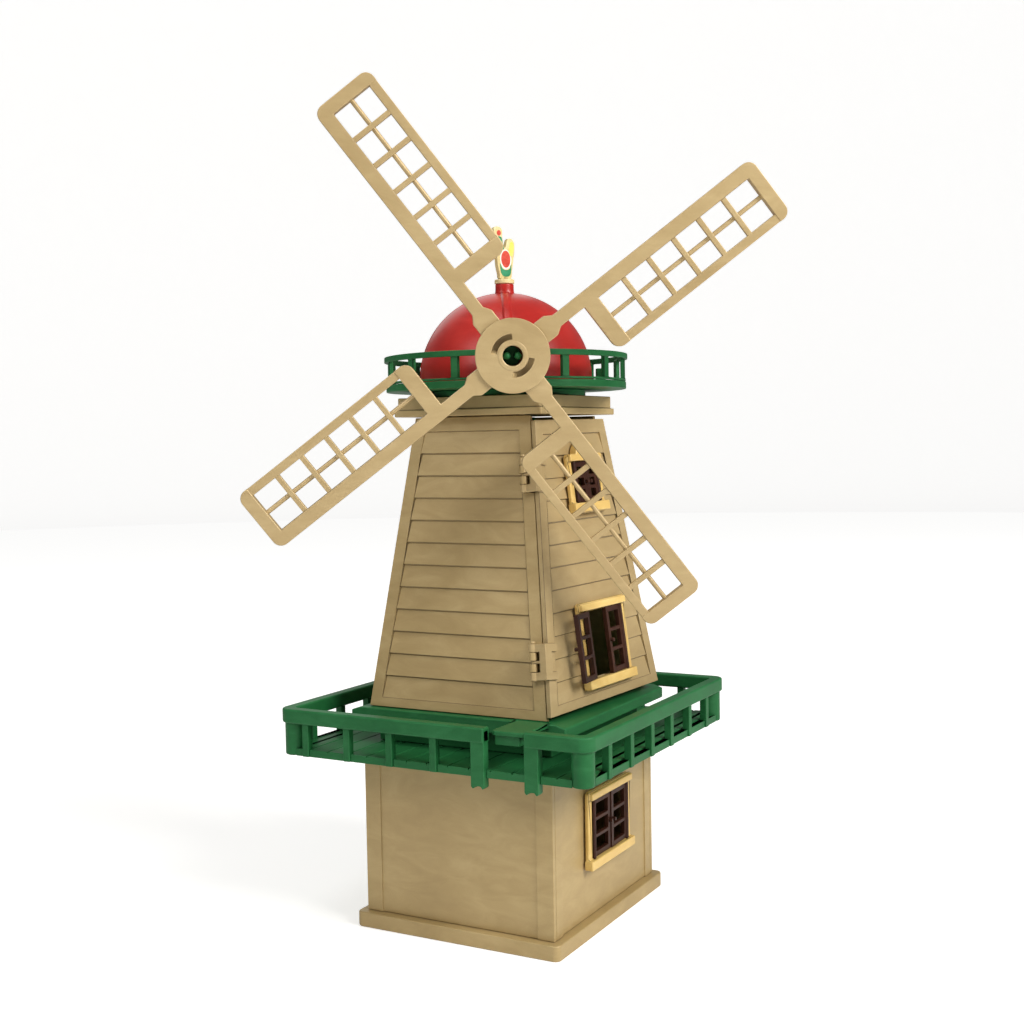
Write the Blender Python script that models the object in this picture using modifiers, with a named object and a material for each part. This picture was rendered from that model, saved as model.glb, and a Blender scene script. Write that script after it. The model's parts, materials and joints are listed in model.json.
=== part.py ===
"""A toy windmill in moulded plastic: a house on a base plate, a railed deck, a tower whose right side opens
as a door, lattice casements, and a turning cap with a gallery, a cockerel and four lattice sails.

Metres, +Z up. The origin is the middle of the base plate's underside. The front faces -Y, the door +X.
"""

import math

import bmesh
import bpy
from mathutils import Matrix, Vector

MM = 0.001
GAP = 0.3 * MM
WALL = 3.0 * MM

# Ground floor
HOUSE_X = 65.0 * MM
HOUSE_Y = 72.0 * MM
BASE_MARGIN = 5.2 * MM
BASE_HEIGHT = 9.4 * MM
BASE_CORNER = 4.0 * MM
DECK_UNDER = 110.0 * MM
CORNER_STRIP = 11.0 * MM
PANEL_STEP = 0.9 * MM

# Deck and railing
DECK_HALF = 103.0 * MM
DECK_CORNER = 10.0 * MM
DECK_THICK = 4.5 * MM
BOARD = 14.0 * MM
GROOVE = 0.9 * MM
RAIL_HALF = 105.5 * MM
RAIL_CORNER = 8.0 * MM
RAIL_WIDTH = 7.5 * MM
RAIL_TOP = 138.6 * MM
RAIL_TALL = 8.8 * MM
POST = 4.6 * MM
POST_FACE = 104.0 * MM
CORNER_POST = 6.5 * MM
POST_PITCH = 30.2 * MM
GAP_LEFT = 39.3 * MM
GAP_RIGHT = 64.8 * MM
GAP_POST = 8.8 * MM
GAP_POST_FOOT = 103.5 * MM
TOOTH_NOTCH = 2.2 * MM
CORNERS = ((-1, -1), (-1, 1), (1, -1), (1, 1))

# Plinth under the tower
PLINTH_X = 74.0 * MM
PLINTH_Y = 72.0 * MM
PLINTH_UNDER = 128.0 * MM
PLINTH_TOP = 136.4 * MM
SKIRT_X = 60.0 * MM
SKIRT_Y = 62.0 * MM
PLINTH_SLOPE = 2.0 * MM
TONGUE_LEFT = 41.0 * MM
TONGUE_RIGHT = 63.0 * MM
TONGUE_REACH = 100.0 * MM
TONGUE_THICK = 2.6 * MM

# Tower
TOWER_FOOT = 137.0 * MM
TOWER_HEAD = 314.2 * MM
FOOT_X = 63.2 * MM
FOOT_Y = 67.4 * MM
HEAD_X = 41.9 * MM
HEAD_Y = 41.4 * MM
BOARDS = 12
BOARD_STEP = 1.3 * MM
BOARD_SINK = 0.3 * MM
SIDE_STRIP = 8.0 * MM
TOP_STRIP = 8.5 * MM
FOOT_STRIP = 5.5 * MM
DOOR_FOOT_GAP = 2.2 * MM
DOOR_HEAD_GAP = 3.4 * MM
DOOR_AJAR = math.radians(5.3)

# Door hinges, measured from the tower's front right edge
PIN_INSET = 8.0 * MM
PIN_OUT = 3.6 * MM
PIN_RADIUS = 1.1 * MM
PIN_HEAD = 1.8 * MM
KNUCKLE = 2.5 * MM
BRACKET_HEIGHTS = (24.0 * MM, 134.0 * MM)
BRACKET_TALL = 21.0 * MM
KNUCKLE_TALL = 4.6 * MM
STRAP_FACE = 1.2 * MM
STRAP_BACK = 1.3 * MM
STRAP_WRAP = 1.5 * MM

# Slab, neck and cap
SLAB_HALF = 51.4 * MM
SLAB_FLANGE = 4.0 * MM
SLAB_INSET = 1.6 * MM
SLAB_CORNER = 1.5 * MM
SLAB_TOP = 326.2 * MM
PIVOT = 12.0 * MM
PIVOT_FOOT = 305.0 * MM
PIVOT_SPIGOT = 7.7 * MM
RETAINER = 18.0 * MM
RETAINER_FOOT = 309.0 * MM
NECK = 50.0 * MM
NECK_WALL = 4.0 * MM
GALLERY_UNDER = 330.2 * MM
GALLERY_FLOOR = 334.6 * MM
GALLERY_RADIUS = 75.6 * MM
GALLERY_RAIL_TOP = 352.0 * MM
GALLERY_RAIL_TALL = 3.4 * MM
GALLERY_RAIL_WIDTH = 2.8 * MM
GALLERY_POSTS = 14
GALLERY_POST_HALF = 2.5 * MM
GALLERY_POST_DEEP = 2.6 * MM
SOLE_TALL = 1.6 * MM
LUG_OUT = 60.0 * MM
LUG_X = 3.0 * MM
LUG_Y = 2.5 * MM
LUG_TALL = 9.0 * MM
AXLE_GATE = 15.0 * MM
DOME = 54.0 * MM
DOME_CENTRE = 337.6 * MM
DOME_WALL = 2.4 * MM
DOME_HOLE = 3.2 * MM
RIB_HALF = 1.0 * MM
RIB_WIDE = 5.6 * MM
HOUSING = 12.0 * MM
HOUSING_NOSE = 9.0 * MM
BLOCK_HALF = 9.0 * MM
BLOCK_TOP = 364.0 * MM
BOSS = 6.2 * MM
BOSS_TOP = 397.2 * MM
WELL = 2.3 * MM
FINIAL_PEG = 2.0 * MM
FINIAL_DISC = 6.2 * MM
FINIAL_THICK = 2.8 * MM
COCKEREL_HALF = 1.5 * MM
COCKEREL_TURN = math.radians(42)
TENON = 1.6 * MM
FINIAL_DISC_TOP = 400.2 * MM

# Rotor: the cap looks 31 degrees round from the front towards the door, and its axle droops
CAP_YAW = math.radians(31.0)
AXLE_DROOP = math.radians(4.0)
HUB_OUT = 108.0 * MM
HUB_HEIGHT = 345.9 * MM
HUB = 20.9 * MM
HUB_FACE = 1.3 * MM
HUB_SLEEVE = 8.3 * MM
HUB_HOLE = 5.7 * MM
SLEEVE_DEEP = 14.0 * MM
SLOT_OUTER = 12.1 * MM
SLOT_INNER = 8.9 * MM
SLOT_STARTS = (math.radians(92), math.radians(268))
SLOT_SPAN = math.radians(84)
HUB_REAR = 17.5 * MM
HUB_REAR_THICK = 2.6 * MM
SAIL_TURN = math.radians(37.4)
SAIL_FRONT = 1.6 * MM
SAIL_THICK = 6.0 * MM
BEAM = 3.8 * MM
BEAM_START = 12.9 * MM
PADDLE = 6.6 * MM
SHOULDER = 27.0 * MM
WAIST = 31.2 * MM
SAIL_INNER = 57.2 * MM
SAIL_OUTER = 162.0 * MM
SAIL_OPEN_NEAR = 4.4 * MM
SAIL_OPEN_FAR = 28.9 * MM
SAIL_END = 7.6 * MM
SAIL_HEEL = 9.3 * MM
SAIL_STILE = 5.1 * MM
SAIL_CORNER = 5.5 * MM
SAIL_CELLS = 6
SAIL_BAR = 3.0 * MM
SAIL_BAR_SINK = 0.7 * MM
SAIL_BAR_BACK = 1.5 * MM
SAIL_ROD = 1.35 * MM
SAIL_ROD_BACK = 2.2 * MM
AXLE = 5.2 * MM
AXLE_SPLIT = 2.8 * MM

# Tower windows, the same in both side walls: across, up, half width and half height of the opening, arched
TOWER_WINDOWS = (
    (0.0, 37.5 * MM, 22.5 * MM, 20.6 * MM, False),
    (2.0 * MM, 136.0 * MM, 14.5 * MM, 12.8 * MM, True),
)
# Ground-floor windows
GROUND_WINDOW_MIDDLE = 64.0 * MM
GROUND_WINDOW_X = 25.5 * MM
GROUND_WINDOW_Y = 18.2 * MM

# Window frames and leaves
LEAF_THICK = 2.8 * MM
LEAF_STILE = 3.2 * MM
LEAF_GLAZING_BAR = 2.0 * MM
LEAF_EDGE_GAP = 0.25 * MM
LEAF_PIN_OUT = 3.3 * MM
LEAF_BARREL = 1.3 * MM
LEAF_PIN = 0.8 * MM
FRAME_THICK = 2.7 * MM
LEDGE_OUT = 5.4 * MM
FRAME_SIDE = 5.0 * MM
FRAME_TOP = 5.0 * MM
FRAME_FOOT = 6.4 * MM
FRAME_CORNER = 2.5 * MM
LOBE_SHARE = 0.62
PIN_REACH = 2.6 * MM
PIN_PLAY = 0.2 * MM
KNOB = 1.2 * MM

PAINTS = {
    "tan": ((0.43, 0.31, 0.15), 0.42),
    "tan_light": ((0.52, 0.39, 0.20), 0.42),
    "green": ((0.015, 0.10, 0.045), 0.35),
    "red": ((0.50, 0.045, 0.04), 0.35),
    "yellow": ((0.78, 0.50, 0.14), 0.4),
    "brown": ((0.045, 0.018, 0.008), 0.4),
    "cream": ((0.82, 0.70, 0.42), 0.4),
}


def clear_scene():
    for item in list(bpy.data.objects):
        bpy.data.objects.remove(item)


def make_paint(name, colour, roughness):
    paint = bpy.data.materials.new(name)
    paint.use_nodes = True
    shader = paint.node_tree.nodes["Principled BSDF"]
    shader.inputs["Base Color"].default_value = (*colour, 1.0)
    shader.inputs["Roughness"].default_value = roughness
    return paint


def evaluated(holder):
    """The finished mesh of a working object, which is then removed."""
    bpy.context.view_layer.update()
    graph = bpy.context.evaluated_depsgraph_get()
    mesh = bpy.data.meshes.new_from_object(holder.evaluated_get(graph))
    bpy.data.objects.remove(holder)
    return mesh


def working(data):
    holder = bpy.data.objects.new("work", data)
    bpy.context.scene.collection.objects.link(holder)
    return holder


def combine(base, others, operation):
    """The mesh left by a Boolean of base with each of the others, all in one frame."""
    holder = working(base)
    helpers = [working(other) for other in others]
    for helper in helpers:
        modifier = holder.modifiers.new("combine", "BOOLEAN")
        modifier.operation = operation
        modifier.solver = "EXACT"
        modifier.object = helper
    mesh = evaluated(holder)
    for helper in helpers:
        bpy.data.objects.remove(helper)
    return mesh


def fuse(first, *others):
    return combine(first, others, "UNION")


def cut(base, *cutters):
    return combine(base, cutters, "DIFFERENCE")


def shared(base, other):
    return combine(base, [other], "INTERSECT")


def moved(mesh, matrix):
    copy = mesh.copy()
    copy.transform(matrix)
    return copy


def box(low, high):
    low, high = Vector(low), Vector(high)
    shape = bmesh.new()
    bmesh.ops.create_cube(shape, size=1.0)
    bmesh.ops.scale(shape, vec=high - low, verts=shape.verts)
    bmesh.ops.translate(shape, vec=(low + high) / 2, verts=shape.verts)
    mesh = bpy.data.meshes.new("box")
    shape.to_mesh(mesh)
    shape.free()
    return mesh


def rod(radius, start, end, steps=24, end_radius=None):
    """A round bar or cone from start to end."""
    start, end = Vector(start), Vector(end)
    along = end - start
    shape = bmesh.new()
    bmesh.ops.create_cone(
        shape,
        cap_ends=True,
        segments=steps,
        radius1=radius,
        radius2=radius if end_radius is None else end_radius,
        depth=along.length,
    )
    turn = Vector((0, 0, 1)).rotation_difference(along).to_matrix().to_4x4()
    place = Matrix.Translation((start + end) / 2) @ turn
    bmesh.ops.transform(shape, matrix=place, verts=shape.verts)
    mesh = bpy.data.meshes.new("rod")
    shape.to_mesh(mesh)
    shape.free()
    return mesh


def plate(outlines, low, high):
    """A flat plate between two heights. The first outline is its edge, and the others are holes."""
    curve = bpy.data.curves.new("outline", "CURVE")
    curve.dimensions = "2D"
    curve.fill_mode = "BOTH"
    curve.extrude = (high - low) / 2
    for outline in outlines:
        spline = curve.splines.new("POLY")
        spline.points.add(len(outline) - 1)
        for point, (x, y) in zip(spline.points, outline):
            point.co = (x, y, 0.0, 1.0)
        spline.use_cyclic_u = True
    mesh = evaluated(working(curve))
    bpy.data.curves.remove(curve)
    shape = bmesh.new()
    shape.from_mesh(mesh)
    bmesh.ops.remove_doubles(shape, verts=shape.verts, dist=0.00001)
    bmesh.ops.translate(shape, vec=(0, 0, (low + high) / 2), verts=shape.verts)
    bmesh.ops.recalc_face_normals(shape, faces=shape.faces)
    shape.to_mesh(mesh)
    shape.free()
    return mesh


def turned(profile, steps):
    """A closed (radius, height) outline turned about Z by the Screw tool."""
    mesh = bpy.data.meshes.new("profile")
    points = [(radius, 0.0, height) for radius, height in profile]
    edges = [(i, (i + 1) % len(points)) for i in range(len(points))]
    if profile[0][0] == 0 and profile[-1][0] == 0:
        edges.pop()
    mesh.from_pydata(points, edges, [])
    holder = working(mesh)
    screw = holder.modifiers.new("turn", "SCREW")
    screw.steps = steps
    screw.render_steps = steps
    screw.use_merge_vertices = True
    screw.merge_threshold = 0.00001
    mesh = evaluated(holder)
    shape = bmesh.new()
    shape.from_mesh(mesh)
    bmesh.ops.remove_doubles(shape, verts=shape.verts, dist=0.00001)
    bmesh.ops.recalc_face_normals(shape, faces=shape.faces)
    shape.to_mesh(mesh)
    shape.free()
    return mesh


def ring(outer, inner, low, high, steps=48):
    return turned([(inner, low), (outer, low), (outer, high), (inner, high)], steps)


def rectangle(x0, y0, x1, y1):
    return [(x0, y0), (x1, y0), (x1, y1), (x0, y1)]


def arc(centre, radius, start, end, steps):
    angles = [start + (end - start) * i / steps for i in range(steps + 1)]
    return [(centre[0] + radius * math.cos(a), centre[1] + radius * math.sin(a)) for a in angles]


def rounded(x0, y0, x1, y1, radius, steps=5):
    quarter = math.pi / 2
    corners = ((x1, y0, -1, 1, 3), (x1, y1, -1, -1, 0), (x0, y1, 1, -1, 1), (x0, y0, 1, 1, 2))
    points = []
    for x, y, inward_x, inward_y, turn in corners:
        centre = (x + inward_x * radius, y + inward_y * radius)
        points += arc(centre, radius, turn * quarter, (turn + 1) * quarter, steps)
    return points


def face_frame(angle, out, height, lean=0.0):
    """A wall's own frame: X across it as seen from outside, Y up it and Z out of it."""
    across = Vector((math.cos(angle), math.sin(angle), 0))
    facing = Vector((math.sin(angle), -math.cos(angle), 0))
    up = Vector((0, 0, 1))
    rise = up * math.cos(lean) - facing * math.sin(lean)
    normal = facing * math.cos(lean) + up * math.sin(lean)
    frame = Matrix((across, rise, normal)).transposed().to_4x4()
    frame.translation = facing * out + up * height
    return frame


def add_node(name, mesh, paint, frame=None, smooth=False):
    """One sub-part: a mesh drawn in the given frame, whose origin becomes the node's own."""
    mesh.materials.clear()
    mesh.materials.append(paint)
    for polygon in mesh.polygons:
        polygon.material_index = 0
    if smooth:
        mesh.shade_smooth()
        mesh.set_sharp_from_angle(angle=math.radians(32))
    item = bpy.data.objects.new(name, mesh)
    item.matrix_world = frame or Matrix()
    windmill.objects.link(item)
    return item


# Windows and their leaves


def leaf_mesh(width, height, side):
    """One lattice leaf with three panes. Its hinge edge is the Y axis, and it runs to +X times side."""
    stile = LEAF_STILE
    bar = LEAF_GLAZING_BAR
    foot = -height / 2
    pane = (height - 2 * stile - 2 * bar) / 3
    pin_end = height / 2 + PIN_REACH - 0.4 * MM
    across = [side * stile, side * (width - stile)]
    outlines = [rectangle(min(0, side * width), foot, max(0, side * width), -foot)]
    for row in range(3):
        low = foot + stile + row * (pane + bar)
        outlines.append(rectangle(min(across), low, max(across), low + pane))
    leaf = plate(outlines, -LEAF_THICK, 0)
    barrel = rod(LEAF_BARREL, (0, foot, 0), (0, -foot, 0), 12)
    pin = rod(LEAF_PIN, (0, -pin_end, 0), (0, pin_end, 0), 10)
    knob_x = side * (width - stile / 2)
    knob = rod(KNOB, (knob_x, 0, -1 * MM), (knob_x, 0, 2.3 * MM), 12)
    return fuse(leaf, barrel, pin, knob)


def frame_mesh(half_width, half_height, arched):
    """A window frame: side bars, and deeper top and foot ledges that hold the leaves' pins."""
    side = half_width + FRAME_SIDE
    top = half_height + FRAME_TOP
    foot = -half_height - FRAME_FOOT
    crown = top - MM if arched else top
    outline = rounded(-side, foot, side, crown, FRAME_CORNER)
    opening = rectangle(-half_width, -half_height, half_width, half_height)
    bars = plate([outline, opening], GAP, FRAME_THICK + GAP)
    upper = box((-side + 1 * MM, half_height, GAP), (side - 1 * MM, top - 0.6 * MM, LEDGE_OUT))
    lower = box((-side - 1 * MM, foot + 0.6 * MM, GAP), (side + 1 * MM, -half_height, LEDGE_OUT + 0.6 * MM))
    frame = fuse(bars, upper, lower)
    if arched:
        lobe = arc((0, crown - 3 * MM), side * LOBE_SHARE, 0, math.pi, 14)
        frame = fuse(frame, plate([lobe], GAP, LEDGE_OUT))
    pin_x = half_width - LEAF_BARREL - PIN_PLAY
    pins = []
    for x in (-pin_x, pin_x):
        for end in (-half_height, half_height):
            low = (x, end - PIN_REACH, LEAF_PIN_OUT)
            high = (x, end + PIN_REACH, LEAF_PIN_OUT)
            pins.append(rod(LEAF_PIN + PIN_PLAY, low, high, 10))
    return cut(frame, *pins)


def add_window(name, wall_frame, across, up, half_width, half_height, opened, carrier=None, arched=False):
    """A frame and its two leaves, the leaves each turned outwards by its angle in opened."""
    middle = wall_frame @ Matrix.Translation((across, up, 0))
    carry = carrier or Matrix()
    frame = frame_mesh(half_width, half_height, arched)
    add_node(f"{name}_frame", frame, paints["yellow"], carry @ middle)
    inset = LEAF_BARREL + PIN_PLAY
    width = half_width - inset - LEAF_EDGE_GAP
    height = 2 * half_height - 2 * GAP
    for word, side, angle in (("left", 1, opened[0]), ("right", -1, opened[1])):
        hinge = Matrix.Translation((-side * (half_width - inset), 0, LEAF_PIN_OUT))
        turn = Matrix.Rotation(-side * math.radians(angle), 4, "Y")
        place = carry @ middle @ hinge @ turn
        add_node(f"{name}_{word}_leaf", leaf_mesh(width, height, side), paints["brown"], place)


def window_hole(across, up, half_width, half_height):
    low = (across - half_width, up - half_height, -3 * WALL)
    high = (across + half_width, up + half_height, 3 * WALL)
    return box(low, high)


# Ground floor


def add_base():
    x = HOUSE_X + BASE_MARGIN
    y = HOUSE_Y + BASE_MARGIN
    mesh = plate([rounded(-x, -y, x, y, BASE_CORNER)], 0, BASE_HEIGHT)
    add_node("base_plate", mesh, paints["tan"])


def ground_wall(half, inset):
    """A wall panel, recessed between two corner strips."""
    tall = DECK_UNDER - BASE_HEIGHT - 2 * GAP
    strip = CORNER_STRIP - inset
    back, step = -WALL, -PANEL_STEP
    outline = [(-half, back), (half, back), (half, 0), (half - strip, 0), (half - strip, step)]
    outline += [(-x, y) for x, y in reversed(outline[2:])]
    wall = plate([outline], 0, tall)
    wall.transform(Matrix.Rotation(math.radians(90), 4, "X") @ Matrix.Scale(-1, 4, (0, 0, 1)))
    wall.flip_normals()
    return wall


def add_ground_floor():
    foot = BASE_HEIGHT + GAP
    side_half = HOUSE_Y - WALL - GAP
    for name, angle in (("front", 0), ("back", 180)):
        frame = face_frame(math.radians(angle), HOUSE_Y, foot)
        add_node(f"ground_{name}_wall", ground_wall(HOUSE_X, 0), paints["tan"], frame)
    window = (0, GROUND_WINDOW_MIDDLE - foot, GROUND_WINDOW_X, GROUND_WINDOW_Y)
    for name, angle, opened in (("right", 90, (0, 1.5)), ("left", 270, (0, 2))):
        frame = face_frame(math.radians(angle), HOUSE_X, foot)
        wall = cut(ground_wall(side_half, WALL), window_hole(*window))
        add_node(f"ground_{name}_wall", wall, paints["tan"], frame)
        add_window(f"ground_{name}_window", frame, *window, opened)


# Deck


def post_places():
    """Each railing post as (x, y, half width in x, half width in y)."""
    line = POST_FACE - POST / 2
    half = POST / 2
    side = [POST_PITCH * (i - 2.5) for i in range(6)]
    front = [GAP_LEFT - GAP_POST / 2 - POST_PITCH * i for i in range(1, 5)]
    places = [(x, -line, half, half) for x in front]
    places += [(GAP_LEFT - GAP_POST / 2, -line, GAP_POST / 2, half)]
    places += [(GAP_RIGHT + GAP_POST / 2, -line, GAP_POST / 2, half)]
    places += [(x, line, half, half) for x in side]
    places += [(x, y, half, half) for x in (-line, line) for y in side]
    return places


def deck_corner_post(sign_x, sign_y, grown=0.0):
    out = POST_FACE - CORNER_POST
    foot = (sign_x * out, sign_y * out, DECK_UNDER - grown)
    head = (sign_x * out, sign_y * out, RAIL_TOP - RAIL_TALL / 2)
    return rod(CORNER_POST + grown, foot, head, 24)


def grooved_boards(floor_top):
    """The deck's sheet, with a groove along each seam between its planks."""
    outline = [(-RAIL_HALF, DECK_UNDER), (RAIL_HALF, DECK_UNDER), (RAIL_HALF, floor_top)]
    boards = int(DECK_HALF // BOARD)
    for i in range(boards, -boards - 1, -1):
        seam = i * BOARD
        outline += [(seam + GROOVE / 2, floor_top), (seam + GROOVE / 2, floor_top - GROOVE)]
        outline += [(seam - GROOVE / 2, floor_top - GROOVE), (seam - GROOVE / 2, floor_top)]
    outline.append((-RAIL_HALF, floor_top))
    sheet = plate([outline], -RAIL_HALF, RAIL_HALF)
    sheet.transform(Matrix.Rotation(math.radians(90), 4, "X"))
    return sheet


def add_deck_floor():
    floor_top = DECK_UNDER + DECK_THICK
    edge = rounded(-DECK_HALF, -DECK_HALF, DECK_HALF, DECK_HALF, DECK_CORNER, 8)
    floor = shared(grooved_boards(floor_top), plate([edge], DECK_UNDER - MM, floor_top + MM))
    notches = []
    for x, y, half_x, half_y in post_places():
        low = (x - half_x - GAP, y - half_y - GAP, DECK_UNDER - MM)
        notches.append(box(low, (x + half_x + GAP, y + half_y + GAP, floor_top + MM)))
    notches += [deck_corner_post(sx, sy, GAP) for sx, sy in CORNERS]
    add_node("deck_floor", cut(floor, *notches), paints["green"])


def add_deck_railing():
    inner = RAIL_HALF - RAIL_WIDTH
    outer_edge = rounded(-RAIL_HALF, -RAIL_HALF, RAIL_HALF, RAIL_HALF, RAIL_CORNER, 6)
    inner_edge = rounded(-inner, -inner, inner, inner, 3 * MM, 4)
    band = plate([outer_edge, inner_edge], RAIL_TOP - RAIL_TALL, RAIL_TOP)
    gateway_low = (GAP_LEFT, -RAIL_HALF - MM, RAIL_TOP - RAIL_TALL - MM)
    gateway_high = (GAP_RIGHT, -inner + MM, RAIL_TOP + MM)
    band = cut(band, box(gateway_low, gateway_high))
    posts = []
    for x, y, half_x, half_y in post_places():
        foot = GAP_POST_FOOT if half_x == GAP_POST / 2 else DECK_UNDER
        head = RAIL_TOP - 3 * MM
        posts.append(box((x - half_x, y - half_y, foot), (x + half_x, y + half_y, head)))
    posts += [deck_corner_post(sx, sy) for sx, sy in CORNERS]
    railing = fuse(band, *posts)
    teeth = []
    for x in (GAP_LEFT - GAP_POST / 2, GAP_RIGHT + GAP_POST / 2):
        low, high = GAP_POST_FOOT - MM, GAP_POST_FOOT + 1.5 * MM
        between = rectangle(x - TOOTH_NOTCH, low, x + TOOTH_NOTCH, high)
        notch = plate([between], POST_FACE - POST - MM, POST_FACE + MM)
        notch.transform(Matrix.Rotation(math.radians(90), 4, "X"))
        teeth.append(notch)
    add_node("deck_railing", cut(railing, *teeth), paints["green"])


def add_plinth():
    shoulder = PLINTH_TOP - PLINTH_SLOPE
    lip_x = FOOT_X + 4.5 * MM
    outline = [(-PLINTH_X, PLINTH_UNDER), (PLINTH_X, PLINTH_UNDER), (PLINTH_X, shoulder)]
    outline += [(lip_x, PLINTH_TOP), (-lip_x, PLINTH_TOP), (-PLINTH_X, shoulder)]
    top = plate([outline], -PLINTH_Y, PLINTH_Y)
    top.transform(Matrix.Rotation(math.radians(90), 4, "X"))
    outer = rectangle(-SKIRT_X, -SKIRT_Y, SKIRT_X, SKIRT_Y)
    inner = rectangle(-SKIRT_X + WALL, -SKIRT_Y + WALL, SKIRT_X - WALL, SKIRT_Y - WALL)
    skirt = plate([outer, inner], DECK_UNDER + DECK_THICK + GAP, PLINTH_UNDER + MM)
    tongue_top = PLINTH_TOP + 0.2 * MM
    outline = rounded(TONGUE_LEFT, -TONGUE_REACH, TONGUE_RIGHT, -PLINTH_Y + 4 * MM, 3 * MM)
    tongue = plate([outline], tongue_top - TONGUE_THICK, tongue_top)
    apron_low = (TONGUE_LEFT + MM, -TONGUE_REACH + 3 * MM, PLINTH_UNDER)
    apron_high = (TONGUE_RIGHT - 5 * MM, -PLINTH_Y + MM, tongue_top - MM)
    add_node("plinth", fuse(top, skirt, tongue, box(apron_low, apron_high)), paints["green"])


# Tower


def lean_of(foot_out, head_out):
    return math.atan2(foot_out - head_out, TOWER_HEAD - TOWER_FOOT)


def boarded_wall(tall, left, right, board_foot, board_head):
    """Lapped boards between strips. left and right give the edges at a height up the wall."""

    def slanted(points):
        return [(x_of(y), y) for x_of, y in points]

    def inward(edge, by):
        return lambda y: edge(y) + by

    outer = slanted([(left, 0), (right, 0), (right, tall), (left, tall)])
    in_left = inward(left, SIDE_STRIP)
    in_right = inward(right, -SIDE_STRIP)
    hole = slanted(
        [(in_left, board_foot), (in_right, board_foot), (in_right, board_head), (in_left, board_head)]
    )
    strips = plate([outer, hole], -WALL, 0)
    lap = (board_head - board_foot) / BOARDS
    reach = max(abs(left(0)), abs(right(0)))
    butt = -BOARD_SINK
    thin = -BOARD_SINK - BOARD_STEP
    profile = [(board_foot - MM, -WALL), (board_foot - MM, butt)]
    for i in range(BOARDS):
        foot = board_foot + i * lap
        profile += [(foot, butt), (foot + lap - BOARD_SINK, thin)]
    profile += [(board_head + MM, thin), (board_head + MM, -WALL)]
    boards = plate([profile], -reach, reach)
    boards.transform(Matrix(((0, 0, 1, 0), (1, 0, 0, 0), (0, 1, 0, 0), (0, 0, 0, 1))))
    half = 0.5 * SIDE_STRIP
    field = slanted(
        [
            (inward(left, half), board_foot - MM),
            (inward(right, -half), board_foot - MM),
            (inward(right, -half), board_head + MM),
            (inward(left, half), board_head + MM),
        ]
    )
    boards = shared(boards, plate([field], -WALL - MM, MM))
    return fuse(strips, boards)


def straight_edge(foot, head, tall):
    return lambda y: foot + (head - foot) * y / tall


def hinge_frame():
    """The door hinge's frame: Y along the pin, X across the front wall, Z out of it."""
    lean = lean_of(FOOT_Y, HEAD_Y)
    tall = (TOWER_HEAD - TOWER_FOOT) / math.cos(lean)
    front = face_frame(0, FOOT_Y, TOWER_FOOT, lean)
    slant = math.atan2(FOOT_X - HEAD_X, tall)
    place = Matrix.Translation((FOOT_X, 0, 0)) @ Matrix.Rotation(slant, 4, "Z")
    return front @ place @ Matrix.Translation((-PIN_INSET, 0, PIN_OUT))


def hinge_knuckle(low, high):
    return rod(KNUCKLE, (0, low, 0), (0, high, 0), 16)


def pin_hole(foot):
    """The pin's hole right through a bracket that starts at this height."""
    low = (0, foot - 2 * MM, 0)
    high = (0, foot + BRACKET_TALL + 2 * MM, 0)
    return rod(PIN_RADIUS + PIN_PLAY, low, high, 14)


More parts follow.
